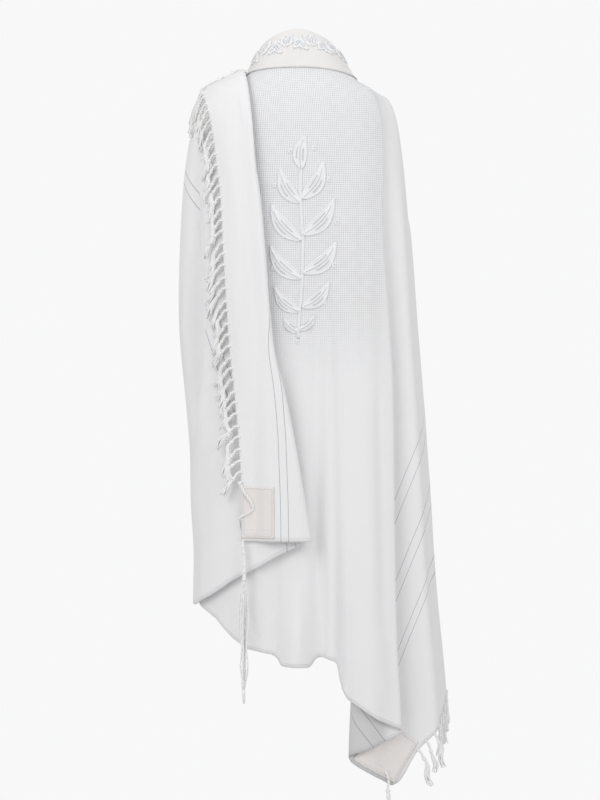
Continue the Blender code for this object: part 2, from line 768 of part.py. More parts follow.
def patch_outside(rows, side_step, up_step, seen_from, out):
    """Point over the outer face of a patch."""
    low, left = min(up_step, PATCH_STEPS - 1), min(side_step, PATCH_STEPS - 1)
    up = rows[low + 1][left] - rows[low][left]
    side = rows[low][left + 1] - rows[low][left]
    normal = up.cross(side).normalized()
    if normal.y * seen_from < 0:
        normal.negate()
    return rows[up_step][side_step] + normal * (PATCH_WALL / 2 + out)


def long_tassel_mesh(place, rows, seen_from):
    """Loop from the patch's hole, a wound head and strands from its foot."""
    mesh = bmesh.new()
    lift = LOOP_RADIUS + LOOP_GAP
    hole = patch_outside(rows, place.hole_side, place.hole_up, seen_from, lift)
    rim = patch_outside(rows, place.rim, 0, seen_from, lift + 0.0010)
    top = rows[0][place.rim] + Vector((0, seen_from * place.outside, -place.below))
    sides = LONG_STRANDS * 2
    head_foot = top - Vector((0, 0, LONG_TASSEL_HEAD))
    # Stations down the tassel: the centre and the radius there.
    stations = (
        (hole, LOOP_RADIUS),
        (rim, LOOP_RADIUS),
        (top, LOOP_RADIUS * 1.2),
        (top - Vector((0, 0, 0.004)), LONG_TASSEL_RADIUS),
        (head_foot + Vector((0, 0, 0.0035)), LONG_TASSEL_RADIUS),
        (head_foot, LONG_TASSEL_RADIUS * 0.9),
    )
    rings = []
    for index, (centre, radius) in enumerate(stations):
        before = stations[max(index - 1, 0)][0]
        after = stations[min(index + 1, len(stations) - 1)][0]
        along = Vector((0, 0, -1)) if index > 2 else (after - before).normalized()
        across = Vector((0, 1, 0))
        across = (across - along * across.dot(along)).normalized()
        other = along.cross(across)
        rings.append([mesh.verts.new(centre + (other * math.cos(math.tau * side / sides)
                                               + across * math.sin(math.tau * side / sides))
                                     * radius) for side in range(sides)])
    mesh.faces.new(rings[0])
    mesh.faces.new(list(reversed(rings[-1])))
    for level, (upper, lower) in enumerate(zip(rings, rings[1:])):
        for side in range(sides):
            following = (side + 1) % sides
            face = (upper[side], lower[side], lower[following], upper[following])
            if level == len(rings) - 2 and side % 2 == 0:
                add_strand(mesh, face, head_foot, side)
            else:
                mesh.faces.new(face)
    bmesh.ops.recalc_face_normals(mesh, faces=mesh.faces)
    return mesh


def add_strand(mesh, root_ring, foot, side):
    """One strand from a face on the side of the head's foot."""
    middle = sum((vert.co for vert in root_ring), Vector()) / 4
    out = Vector((middle.x - foot.x, middle.y - foot.y, 0)).normalized()
    along = Vector((0, 0, 1)).cross(out)
    if along.dot(root_ring[2].co - root_ring[1].co) < 0:
        along.negate()
    length = LONG_TASSEL_STRANDS * (0.82 + 0.18 * math.sin(side * 1.7) ** 2)
    previous = root_ring
    for drop, radius in ((0.005, 0.0036), (length, 0.0036 + STRAND_SPREAD)):
        centre = foot + out * radius + Vector((0, 0, -drop))
        # The face's upper edge turns to the outer side of the strand.
        outer, inner = centre + out * 0.0006, centre - out * 0.0006
        ring = [mesh.verts.new(point) for point in (
            outer - along * 0.0006, inner - along * 0.0006,
            inner + along * 0.0006, outer + along * 0.0006)]
        for corner in range(4):
            following = (corner + 1) % 4
            mesh.faces.new((previous[corner], previous[following], ring[following], ring[corner]))
        previous = ring
    mesh.faces.new(previous)


def column(rows, index):
    return [row[index] for row in rows]


def make_scene():
    for old in list(bpy.data.objects):
        bpy.data.objects.remove(old, do_unlink=True)
    parts = bpy.data.collections.new(COLLECTION)
    bpy.context.scene.collection.children.link(parts)
    wool = make_material("white wool", (0.80, 0.80, 0.80), 0.85)
    satin = make_material("satin", (0.82, 0.80, 0.78), 0.45)
    yarn = make_material("white yarn", (0.84, 0.84, 0.82), 0.80)
    back, wing, flap = back_panel_rows(), wing_rows(), flap_rows()
    add_object("back_panel", grid_mesh(back), wool, CLOTH_WALL)
    add_object("left_wing", grid_mesh(wing), wool, CLOTH_WALL)
    add_object("thrown_flap", grid_mesh(flap), wool, CLOTH_WALL)
    add_object("neckband", grid_mesh(band_rows()), satin, BAND_WALL)

    # The right wing's lower layer, from inside the deep fold to the front edge
    lower_start = len(LEFT_ANGLES) + BACK_COLUMNS + 7
    lower_layer = [row[lower_start:] for row in back]
    flap_outer = [row[len(FOLD_STEPS) - 1:] for row in flap]
    grounds = {"patch_flap": flap_outer, "patch_flap_front": flap_outer,
               "patch_right_wing": lower_layer, "patch_right_front": lower_layer}
    patches = {}
    for patch in PATCHES:
        rows = patch_rows(patch, tree_of(grounds[patch.name]))
        patches[patch.name] = rows, patch.seen_from
        add_object(patch.name, grid_mesh(rows), satin, PATCH_WALL)

    front_rows = FLAP_CREST_ROWS + 3
    outer, within = column(flap, -1), column(flap, -2)
    # The fringe ends above the corner patch.
    add_object("fringe_back",
               fringe_mesh(outer[front_rows:-2], within[front_rows:-2], 0.42, 0.0009), yarn)
    add_object("fringe_front",
               fringe_mesh(outer[:front_rows], within[:front_rows], 0.60, 0.0009), yarn)
    corner = len(LEFT_ANGLES) + BACK_COLUMNS + len(DEEP_FOLD_STACK) - 1
    # The fringe starts past the corner patch.
    edge, above = back[-1][corner + 2:-1], back[-2][corner + 2:-1]
    add_object("fringe_right", fringe_mesh(edge, above, 0.30, 0.0016), yarn)
    for place in LONG_TASSELS:
        add_object(place.name, long_tassel_mesh(place, *patches[place.patch]), yarn)


make_scene()
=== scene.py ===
"""Fringed prayer shawl, worn round the shoulders with its left end thrown back.

The looks of the shawl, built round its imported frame. Metres, +Z up, the wearer
faces +Y and +X is the wearer's right side. The photograph looks at the back.
"""
import math
import random
from collections import namedtuple

import bpy
import numpy as np
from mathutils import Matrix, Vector
from mathutils.bvhtree import BVHTree


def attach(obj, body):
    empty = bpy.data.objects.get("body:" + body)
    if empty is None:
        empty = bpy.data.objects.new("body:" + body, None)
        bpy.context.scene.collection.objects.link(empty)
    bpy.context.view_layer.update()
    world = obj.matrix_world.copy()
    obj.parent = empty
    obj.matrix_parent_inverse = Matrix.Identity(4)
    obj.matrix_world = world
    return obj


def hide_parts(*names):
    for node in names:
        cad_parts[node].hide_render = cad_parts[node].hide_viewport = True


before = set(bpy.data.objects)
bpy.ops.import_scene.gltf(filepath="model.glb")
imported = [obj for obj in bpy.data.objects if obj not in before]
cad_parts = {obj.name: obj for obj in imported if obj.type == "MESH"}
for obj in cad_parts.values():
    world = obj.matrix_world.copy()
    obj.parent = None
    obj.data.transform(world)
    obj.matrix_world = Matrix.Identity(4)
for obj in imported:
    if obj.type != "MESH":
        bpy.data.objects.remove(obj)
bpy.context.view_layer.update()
bpy.ops.object.select_all(action="DESELECT")

# Camera
# A long lens well behind the wearer, level with the middle of the shawl, so
# that the whole back shows with little perspective.
CAMERA_PLACE = (0.004, -3.75, -0.64)
VIEW_HEIGHT = 1.56
SENSOR = 36.0

camera_data = bpy.data.cameras.new("camera")
camera_data.sensor_width = SENSOR
camera_data.lens = SENSOR * -CAMERA_PLACE[1] / VIEW_HEIGHT
camera = bpy.data.objects.new("camera", camera_data)
camera.location = CAMERA_PLACE
camera.rotation_euler = (math.pi / 2, 0, 0)
bpy.context.scene.collection.objects.link(camera)
bpy.context.scene.camera = camera

# Back of the shawl and the right wing
# One length of white wool, open and checked across the upper back and plain
# towards the ends. It hangs from the neck over both shoulders, doubles back on
# itself right of the back and goes round the right arm to the front.
CLOTH_WALL = 0.0014
RING_SQUARENESS = 2.6
# How the neck edge falls from the nape to the sides: under 2 is a peak.
NECK_FALL = 1.4
Ring = namedtuple("Ring", "name back_z left_z right_z front_z left right back front")


def flat_ring(name, height, *widths):
    return Ring(name, height, height, height, height, *widths)


RINGS = (
    Ring("neck edge", 0.068, 0.039, 0.034, -0.056, 0.072, 0.077, 0.062, 0.070),
    Ring("band edge", -0.008, -0.013, -0.021, -0.098, 0.100, 0.114, 0.092, 0.094),
    Ring("upper back", -0.050, -0.034, -0.038, -0.132, 0.134, 0.148, 0.112, 0.112),
    Ring("shoulder", -0.093, -0.053, -0.055, -0.160, 0.167, 0.174, 0.124, 0.122),
    Ring("arm top", -0.138, -0.096, -0.100, -0.182, 0.190, 0.192, 0.130, 0.130),
    flat_ring("upper arm", -0.200, 0.207, 0.206, 0.133, 0.136),
    flat_ring("chest", -0.350, 0.214, 0.219, 0.134, 0.142),
    flat_ring("elbow", -0.500, 0.214, 0.229, 0.133, 0.146),
    flat_ring("forearm", -0.650, 0.201, 0.240, 0.134, 0.146),
    flat_ring("hip", -0.800, 0.193, 0.250, 0.136, 0.144),
    flat_ring("thigh", -1.000, 0.197, 0.262, 0.139, 0.142),
    flat_ring("knee", -1.200, 0.205, 0.281, 0.142, 0.142),
    flat_ring("calf", -1.400, 0.210, 0.292, 0.144, 0.142),
)
BODY_RING = 5
BODY_TOP = RINGS[BODY_RING].back_z
FRONT_EDGE_DEG = 163.0

# Folds by place across the back in metres, or by angle round the arm. Positive
# depth is a ridge towards the outside.
Fold = namedtuple("Fold", "name x_top x_hem width depth_top depth_hem start_z full_z")
BACK_FOLDS = (
    Fold("hem roll", 0.002, -0.003, 0.026, 0.000, 0.026, -0.90, -1.12),
    Fold("left of roll", -0.040, -0.046, 0.013, 0.000, -0.010, -0.90, -1.12),
    Fold("right of roll", 0.036, 0.039, 0.013, 0.000, -0.012, -0.52, -1.05),
    Fold("middle ridge", 0.060, 0.063, 0.015, 0.000, 0.011, -0.60, -1.05),
    Fold("middle valley", 0.086, 0.088, 0.011, 0.000, -0.012, -0.82, -1.10),
    Fold("right ridge", 0.115, 0.135, 0.026, 0.003, 0.014, -0.20, -1.10),
    Fold("left ridge", -0.110, -0.125, 0.030, 0.000, 0.008, -0.95, -1.08),
)
SIDE_FOLDS = (
    Fold("arm back", 62.0, 60.0, 7.0, 0.004, 0.012, -0.15, -1.10),
    Fold("arm side", 88.0, 92.0, 7.0, 0.003, 0.008, -0.30, -1.00),
    Fold("arm crease", 103.0, 106.0, 6.0, -0.006, -0.022, -0.18, -0.80),
    Fold("front swell", 120.0, 121.0, 7.0, 0.004, 0.014, -0.20, -0.80),
    Fold("front crease", 136.0, 136.0, 6.0, -0.006, -0.018, -0.20, -0.80),
    Fold("front edge swell", 152.0, 150.0, 7.0, 0.004, 0.012, -0.22, -0.70),
    Fold("left front crease", -136.0, -134.0, 7.0, -0.006, -0.014, -0.22, -0.60),
)
# Small soft creases that start and end on the cloth, by place across the back.
Crease = namedtuple("Crease", "name x_top z_top x_foot z_foot width depth")
BACK_CREASES = (
    Crease("under the band left", -0.030, -0.020, -0.045, -0.240, 0.016, -0.0016),
    Crease("under the band right", 0.070, -0.020, 0.096, -0.300, 0.018, -0.0022),
    Crease("shoulder blade", 0.020, -0.120, 0.028, -0.560, 0.022, 0.0018),
    Crease("right of the blade", 0.112, -0.160, 0.128, -0.700, 0.010, -0.0026),
    Crease("waist left", -0.018, -0.480, -0.026, -0.960, 0.014, -0.0022),
    Crease("waist right", 0.058, -0.420, 0.060, -0.900, 0.012, 0.0026),
    Crease("long middle", 0.034, -0.360, 0.032, -1.020, 0.011, -0.0034),
    Crease("beside the fold", 0.150, -0.520, 0.160, -1.180, 0.009, -0.0030),
    Crease("hem dimple", -0.100, -1.020, -0.070, -1.110, 0.007, -0.0026),
    Crease("roll side", 0.018, -0.980, 0.012, -1.130, 0.006, -0.0016),
    Crease("right hem swell", 0.150, -1.060, 0.166, -1.240, 0.012, 0.0030),
    Crease("low left", -0.076, -0.900, -0.080, -1.090, 0.010, 0.0024),
)

# The fold right of the back: where its outer edge runs, how far the cloth
# doubles back behind it and how deep the stack is.
DeepFold = namedtuple("DeepFold", "height x_edge overlap depth")
DEEP_FOLD = (
    DeepFold(0.08, 0.046, 0.001, 0.001),
    DeepFold(-0.04, 0.128, 0.002, 0.002),
    DeepFold(-0.10, 0.152, 0.004, 0.006),
    DeepFold(-0.30, 0.161, 0.010, 0.013),
    DeepFold(-0.60, 0.180, 0.026, 0.017),
    DeepFold(-0.90, 0.184, 0.052, 0.020),
    DeepFold(-1.10, 0.188, 0.078, 0.022),
    DeepFold(-1.26, 0.196, 0.096, 0.024),
    DeepFold(-1.40, 0.197, 0.100, 0.024),
)
Turn = namedtuple("Turn", "name shift depth")
DEEP_FOLD_STACK = (
    Turn("outer edge nears", -0.050, 0.000),
    Turn("outer edge", 0.000, 0.130),
    Turn("outer edge turned", -0.045, 0.330),
    Turn("doubled back", -0.360, 0.440),
    Turn("half way back", -0.660, 0.500),
    Turn("inner fold nears", -0.945, 0.560),
    Turn("inner fold", -1.000, 0.760),
    Turn("inner fold turned", -0.945, 0.960),
    Turn("forward again", -0.600, 1.000),
    Turn("behind the edge", -0.120, 1.000),
)

Hem = namedtuple("Hem", "name place z")
BACK_HEM = (
    Hem("left silhouette", -0.203, -1.033),
    Hem("under the flap", -0.165, -1.054),
    Hem("far left", -0.127, -1.089),
    Hem("left", -0.101, -1.108),
    Hem("left of roll", -0.052, -1.119),
    Hem("roll begins", -0.040, -1.125),
    Hem("roll left", -0.032, -1.139),
    Hem("roll right", 0.024, -1.141),
    Hem("roll ends", 0.038, -1.125),
    Hem("right of roll", 0.051, -1.123),
    Hem("middle", 0.078, -1.132),
    Hem("drop", 0.086, -1.178),
    Hem("drop turns", 0.096, -1.201),
    Hem("right", 0.153, -1.241),
    Hem("outer fold", 0.196, -1.260),
)
INNER_FOLD_HEM_Z = -1.312
# The fringed short edge, from the corner round the right arm to the front.
FRINGED_EDGE = (
    Hem("corner", 36.0, -1.371),
    Hem("past the corner", 40.0, -1.357),
    Hem("patch end", 50.0, -1.304),
    Hem("arm back", 61.0, -1.266),
    Hem("arm side", 78.0, -1.238),
    Hem("arm front", 100.0, -1.180),
    Hem("front", 130.0, -1.030),
    Hem("front edge", 163.0, -0.930),
)
LEFT_HEM = (
    Hem("left silhouette", -80.0, -1.033),
    Hem("fold end", -86.0, -0.960),
    Hem("below the elbow", -93.0, -0.770),
    Hem("arm front", -110.0, -0.748),
    Hem("front", -140.0, -0.765),
    Hem("front edge", -163.0, -0.740),
)
ArmCrease = namedtuple("ArmCrease", "height swell crease depth")
ARM_CREASE = (
    ArmCrease(-0.10, -45.0, -54.0, 0.000),
    ArmCrease(-0.22, -43.0, -53.5, -0.014),
    ArmCrease(-0.35, -42.0, -53.5, -0.030),
    ArmCrease(-0.50, -46.0, -57.5, -0.034),
    ArmCrease(-0.62, -56.0, -67.0, -0.028),
    ArmCrease(-0.70, -66.0, -75.0, -0.014),
    ArmCrease(-0.78, -73.0, -82.0, 0.000),
)
CREASE_WIDTH = 8.0
INNER_CREASE = 1.25


def smooth(value):
    """Ease between 0 and 1."""
    value = np.clip(value, 0.0, 1.0)
    return value * value * (3.0 - 2.0 * value)


def hermite(low, high, slope_low, slope_high, share):
    square, cube = share ** 2, share ** 3
    return (low * (2 * cube - 3 * square + 1) + slope_low * (cube - 2 * square + share)
            + high * (3 * square - 2 * cube) + slope_high * (cube - square))


def read(rows, key, column, at):
    """Smooth curve through a column of a table."""
    ordered = sorted(rows, key=lambda row: getattr(row, key))
    keys = np.array([getattr(row, key) for row in ordered], float)
    values = np.array([getattr(row, column) for row in ordered], float)
    slopes = np.gradient(values, keys)
    at = np.clip(at, keys[0], keys[-1])
    index = np.clip(np.searchsorted(keys, at, side="right") - 1, 0, len(keys) - 2)
    span = keys[index + 1] - keys[index]
    return hermite(values[index], values[index + 1], slopes[index] * span,
                   slopes[index + 1] * span, (at - keys[index]) / span)


def read_straight(rows, at):
    """Height of a hem at a place, in straight steps."""
    ordered = sorted(rows, key=lambda row: row.place)
    return np.interp(at, [row.place for row in ordered], [row.z for row in ordered])


def ring_value(column, level):
    """Read a ring column at a level, on a smooth curve through the rings."""
    values = np.array([getattr(ring, column) for ring in RINGS])
    level = np.clip(level, 0.0, len(RINGS) - 1.001)
    index = level.astype(int)
    share = level - index
    before = values[np.maximum(index - 1, 0)]
    after = values[np.minimum(index + 2, len(RINGS) - 1)]
    low, high = values[index], values[index + 1]
    curved = hermite(low, high, (high - before) / 2, (after - low) / 2, share)
    if column.endswith("_z"):
        return np.where(index >= BODY_RING, low + (high - low) * share, curved)
    return curved


def level_at(height):
    """Level of a height on the lower rings, where the rings are flat."""
    heights = np.array([ring.back_z for ring in RINGS[BODY_RING:]])
    levels = np.arange(BODY_RING, len(RINGS))
    return np.interp(-height, -heights, levels)


def half_width(level, side):
    return np.where(side >= 0, ring_value("right", level), ring_value("left", level))


def angle_at(x, level):
    """Angle round the ring, in degrees, of a place across the back."""
    share = np.minimum(np.abs(x) / half_width(level, x), 1.0)
    return np.copysign(np.degrees(np.arcsin(share ** (RING_SQUARENESS / 2))), x)


def plain_point(degrees, level):
    """Points of the plain ring, with 0 degrees at the back and 180 in front."""
    degrees, level = np.broadcast_arrays(np.asarray(degrees, float), np.asarray(level, float))
    side, fore = np.sin(np.radians(degrees)), np.cos(np.radians(degrees))
    power = 2.0 / RING_SQUARENESS
    x = np.sign(side) * half_width(level, degrees) * np.abs(side) ** power
    depth = np.where(fore >= 0, ring_value("back", level), ring_value("front", level))
    y = -np.sign(fore) * depth * np.abs(fore) ** power
    side_z = np.where(degrees >= 0, ring_value("right_z", level), ring_value("left_z", level))
    end_z = np.where(fore >= 0, ring_value("back_z", level), ring_value("front_z", level))
    fall = NECK_FALL + (2.0 - NECK_FALL) * np.minimum(level / 2, 1.0)
    return np.stack([x, y, end_z + (side_z - end_z) * np.abs(side) ** fall], axis=-1)


STEP_DEG = 1.5
STEP_LEVEL = 0.05


def outward(degrees, level):
    """Direction away from the figure, across the cloth."""
    along = (plain_point(degrees + STEP_DEG, level) - plain_point(degrees - STEP_DEG, level))
    low = np.minimum(level + STEP_LEVEL, len(RINGS) - 1.002)
    high = np.maximum(level - STEP_LEVEL, 0.0)
    down = plain_point(degrees, low) - plain_point(degrees, high)
    normal = np.cross(along, down)
    normal /= np.maximum(np.linalg.norm(normal, axis=-1, keepdims=True), 1e-9)
    point = plain_point(degrees, level)
    from_middle = point * (1, 1, 0) + (0, 0, 0.05)
    facing = np.sum(normal * from_middle, axis=-1, keepdims=True)
    return np.where(facing < 0, -normal, normal)


def fold_depth(folds, place, height):
    """Sum of the soft folds at a place and height."""
    total = np.zeros_like(height)
    for fold in folds:
        grown = smooth((fold.start_z - height) / (fold.start_z - fold.full_z))
        centre = fold.x_top + (fold.x_hem - fold.x_top) * grown
        depth = fold.depth_top + (fold.depth_hem - fold.depth_top) * grown
        total += np.where(height < fold.start_z, depth, 0) * np.exp(
            -((place - centre) / fold.width) ** 2)
    return total


def crease_depth(creases, place, height):
    """Sum of the small creases, which fade at both ends."""
    total = np.zeros_like(height)
    for crease in creases:
        share = (crease.z_top - height) / (crease.z_top - crease.z_foot)
        centre = crease.x_top + (crease.x_foot - crease.x_top) * share
        fade = smooth(share / 0.3) * smooth((1.0 - share) / 0.3)
        total += crease.depth * fade * np.exp(-((place - centre) / crease.width) ** 2)
    return total


# The little creases and the folds of the back show on this much of the ring.
BACK_SPAN_DEG = 80


def cloth_point(degrees, level, out=0.0, outer_layer=False, creases=()):
    """Points of the draped cloth, moved out by a distance."""
    base = plain_point(degrees, level)
    x, height = base[..., 0], base[..., 2]
    degrees = np.broadcast_to(degrees, height.shape)
    depth = fold_depth(SIDE_FOLDS, degrees, height)
    on_back = np.abs(degrees) < BACK_SPAN_DEG
    if not outer_layer:
        depth += np.where(on_back, fold_depth(BACK_FOLDS, x, height), 0)
    depth += np.where(on_back, crease_depth(creases, x, height), 0)
    crease = read(ARM_CREASE, "height", "crease", height)
    away = (degrees - crease) / CREASE_WIDTH
    depth += (read(ARM_CREASE, "height", "depth", height) * np.exp(-away * away)
              * (1.0 if outer_layer else INNER_CREASE))
    return base + outward(degrees, level) * (depth + out)[..., None]


def arc(points, axis):
    """Length along the rows or columns of a grid of points."""
    steps = np.linalg.norm(np.diff(points, axis=axis), axis=-1)
    start = np.zeros_like(np.take(steps, [0], axis=axis))
    return np.concatenate([start, np.cumsum(steps, axis=axis)], axis=axis)


def ease_rows(points, times):
    """Soften a grid down its columns, with the first and last rows kept."""
    for _ in range(times):
        points[1:-1] = points[1:-1] * 0.5 + (points[:-2] + points[2:]) * 0.25
    return points


def grid_quads(points):
    """Faces of a grid of points, by the numbers of their corners."""
    rows, columns = points.shape[:2]
    index = np.arange(rows * columns).reshape(rows, columns)
    return np.stack([index[:-1, :-1], index[1:, :-1], index[1:, 1:], index[:-1, 1:]],
                    axis=-1).reshape(-1, 4)


def new_piece(name, points, faces, finish, node, values):
    """Smooth object that rides on the shawl, with values at its points."""
    mesh = bpy.data.meshes.new(name)
    mesh.from_pydata(points, [], faces)
    for key, value in values.items():
        attribute = mesh.attributes.new(key, "FLOAT", "POINT")
        attribute.data.foreach_set("value", np.ravel(value).astype(np.float32))
    mesh.polygons.foreach_set("use_smooth", [True] * len(mesh.polygons))
    mesh.materials.append(finish.material)
    piece = bpy.data.objects.new(name, mesh)
    bpy.context.scene.collection.objects.link(piece)
    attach(piece, "root")
    if node:
        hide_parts(node)
    return piece


def cloth_piece(name, node, points, finish, wall, across, down, values, inside_out=False):
    """Sheet through a grid of points, with cloth coordinates in metres."""
    quads = grid_quads(points)
    if inside_out:
        quads = quads[:, ::-1]
    piece = new_piece(name, points.reshape(-1, 3).tolist(), quads.tolist(), finish, node,
                      values)
    mesh = piece.data
    layer = mesh.uv_layers.new(name="cloth")
    corners = np.empty(len(mesh.loops), dtype=np.int32)
    mesh.loops.foreach_get("vertex_index", corners)
    uv = np.stack([across, down], axis=-1).reshape(-1, 2)
    layer.data.foreach_set("uv", uv[corners].ravel().astype(np.float32))
    solid = piece.modifiers.new("wall", "SOLIDIFY")
    solid.thickness = wall
    solid.offset = 0.0
    bpy.context.view_layer.objects.active = piece
    bpy.ops.object.modifier_apply(modifier=solid.name)
    return piece


class Finish:
    """One material. Its nodes are joined as they are made, so they read like sums."""

    def __init__(self, name, colour, roughness, sheen=0.0):
        self.material = bpy.data.materials.new(name)
        self.material.use_nodes = True
        self.nodes = self.material.node_tree.nodes
        self.links = self.material.node_tree.links
        self.shader = self.nodes["Principled BSDF"].inputs
        for socket, value in (("Base Color", colour), ("Roughness", roughness),
                              ("Metallic", 0.0), ("Sheen Weight", sheen),
                              ("Sheen Roughness", 0.5)):
            self.put(value, self.shader[socket])

    def put(self, value, socket):
        """Join a value to a socket, or set it there where it is plain."""
        if isinstance(value, bpy.types.NodeSocket):
            self.links.new(value, socket)
        else:
            socket.default_value = (*value, 1.0) if isinstance(value, tuple) else value

    def math(self, operation, *inputs):
        node = self.nodes.new("ShaderNodeMath")
        node.operation = operation
        for value, socket in zip(inputs, node.inputs):
            self.put(value, socket)
        return node.outputs[0]

    def times(self, first, second):
        return self.math("MULTIPLY", first, second)

    def times_plus(self, first, second, third):
        return self.math("MULTIPLY_ADD", first, second, third)

    def mix(self, factor, first, second):
        node = self.nodes.new("ShaderNodeMix")
        node.data_type = "RGBA"
        for value, socket in ((factor, 0), (first, 6), (second, 7)):
            self.put(value, node.inputs[socket])
        return node.outputs[2]

    def attribute(self, name):
        node = self.nodes.new("ShaderNodeAttribute")
        node.attribute_name = name
        return node.outputs["Fac"]

    def cloth_place(self):
        """Place on the cloth in metres."""
        node = self.nodes.new("ShaderNodeUVMap")
        node.uv_map = "cloth"
        return node.outputs[0]

    def split(self, place):
        node = self.nodes.new("ShaderNodeSeparateXYZ")
        self.links.new(place, node.inputs[0])
        return node.outputs[0], node.outputs[1]

    def wave(self, value, pitch):
        """Wave from 0 to 1 with a pitch in metres."""
        cosine = self.math("COSINE", self.times(value, math.tau / pitch))
        return self.times_plus(cosine, 0.5, 0.5)

    def noise(self, place, scale_u, scale_v, detail):
        mapping = self.nodes.new("ShaderNodeMapping")
        mapping.inputs["Scale"].default_value = (scale_u, scale_v, 1.0)
        self.links.new(place, mapping.inputs["Vector"])
        noise = self.nodes.new("ShaderNodeTexNoise")
        noise.inputs["Scale"].default_value = 1.0
        noise.inputs["Detail"].default_value = detail
        self.links.new(mapping.outputs[0], noise.inputs["Vector"])
        return noise.outputs["Fac"]

    def bump(self, height, distance, strength):
        node = self.nodes.new("ShaderNodeBump")
        node.inputs["Distance"].default_value = distance
        node.inputs["Strength"].default_value = strength
        self.links.new(height, node.inputs["Height"])
        self.links.new(node.outputs["Normal"], self.shader["Normal"])


# Wool: plain weave with an open check across the back, grey stripe threads
# beside the fringed ends and a narrow stitched hem.
WOOL = (0.905, 0.905, 0.908)
WOOL_DULL = (0.870, 0.870, 0.875)
WOOL_SLUB = (0.76, 0.76, 0.77)
OPEN_TINT = (0.80, 0.81, 0.835)
OPEN_GREY = (0.60, 0.61, 0.63)
STRIPE_GREY = (0.27, 0.28, 0.31)
HEM_SHADE = (0.74, 0.735, 0.73)
# Painted shade for the inside of the deep fold, not a colour of the wool.
PAINTED_FOLD_SHADE = (0.66, 0.66, 0.655)
OPEN_PITCH = 0.0041
CHECK_SIDE = 0.0164
THREAD_PITCH = 0.0011
DOT_PITCH = 0.0023
HEM_WIDTH = 0.0065
STITCH_HALF_WIDTH = 0.0007
STRIPE_HALF_WIDTH = 0.0011
# The stripes' places, as distances along the weave's own table.
STRIPE_LINES = (0.223, 0.252, 0.344, 0.381, 0.483, 0.525)

wool = Finish("white wool", WOOL, 0.88, 0.25)
place = wool.cloth_place()
across, down = wool.split(place)
# Open check: holes between single threads, stronger in every other square.
hole = wool.times(wool.math("SUBTRACT", 1.0, wool.wave(across, OPEN_PITCH)),
                  wool.math("SUBTRACT", 1.0, wool.wave(down, OPEN_PITCH)))
checker = wool.nodes.new("ShaderNodeTexChecker")
checker.inputs["Scale"].default_value = 1.0 / CHECK_SIDE
wool.links.new(place, checker.inputs["Vector"])
check = wool.times_plus(checker.outputs["Fac"], 0.14, 0.86)
patchy = wool.times_plus(wool.noise(place, 26.0, 26.0, 2.0), 0.4, 0.80)
gap = wool.times(hole, wool.times(wool.attribute("open"), wool.times(check, patchy)))
# Stripe threads, dotted where they pass under the weave.
distance = wool.attribute("stripe")
lines = 0.0
for line in STRIPE_LINES:
    lines = wool.math("ADD", lines, wool.math("COMPARE", distance, line, STRIPE_HALF_WIDTH))
dots = wool.times_plus(wool.wave(down, DOT_PITCH), 0.4, 0.6)
stripes = wool.times(wool.times(lines, dots), wool.attribute("striped"))
# Turned hem with its row of stitches.
hem = wool.attribute("hem")
on_hem = wool.math("LESS_THAN", hem, HEM_WIDTH)
stitch_line = wool.math("COMPARE", hem, HEM_WIDTH, STITCH_HALF_WIDTH)
slubs = wool.noise(place, 30.0, 700.0, 2.0)
uneven = wool.noise(place, 9.0, 7.0, 3.0)
base = WOOL
for share, colour in ((wool.times_plus(uneven, 0.5, -0.1), WOOL_DULL),
                      (wool.times(slubs, 0.12), WOOL_SLUB),
                      (wool.times(wool.attribute("open"), 0.10), OPEN_TINT),
                      # painted shade inside the deep fold, greying the doubled-back layers
                      (wool.attribute("painted_fold_shade"), PAINTED_FOLD_SHADE),
                      (gap, OPEN_GREY),
                      (wool.times(stripes, 0.95), STRIPE_GREY),
                      (wool.times(stitch_line, 0.5), HEM_SHADE)):
    base = wool.mix(share, base, colour)
wool.put(base, wool.shader["Base Color"])
threads = wool.times(wool.wave(across, THREAD_PITCH), wool.wave(down, THREAD_PITCH))
height = wool.times_plus(gap, -1.2, wool.times(threads, 0.35))
for part, weight in ((slubs, 0.5), (on_hem, 0.9), (stitch_line, -0.8)):
    height = wool.times_plus(part, weight, height)
wool.bump(height, 0.0005, 0.7)

# Columns of the back: round the left arm under the wing, across the back,
# through the deep fold and round the right arm.
YOKE_ROWS = 46
BODY_ROWS = 128
LEFT_COLUMNS = 30
BACK_COLUMNS = 86
RIGHT_COLUMNS = 62
BACK_LEFT_SHARE = -0.945
SPREAD_UNDER = 0.012
# The fold's height is read at this angle. The back ends just before the fold's
# edge, and the right wing begins just behind its stack, at about this angle.
FOLD_READ_DEG = 20.0
BACK_ENDS_BEFORE = 0.006
WING_BEGINS_BEHIND = 0.002
WING_BEGINS_DEG = 37.5
LAST_TURN = len(DEEP_FOLD_STACK) - 1
# The share of the fold's turns that the inner fold's hem is reached by.
INNER_FOLD_SHARE = 0.67


def deep_fold(column, height):
    return read(DEEP_FOLD, "height", column, height)


def stack_spread(overlap):
    """Spacing of the fold's turns near the neck, where nothing overlaps."""
    return np.maximum(0.0, SPREAD_UNDER - overlap) * 0.2


def turn_value(column, key):
    """A column of the fold's turns, read between one turn and the next."""
    table = [Hem(turn.name, step, getattr(turn, column))
             for step, turn in enumerate(DEEP_FOLD_STACK)]
    return read(table, "place", "z", key)


def wing_degrees(first, key):
    """Angle round the right arm, from the first to the front edge."""
    return first + (FRONT_EDGE_DEG - first) * key


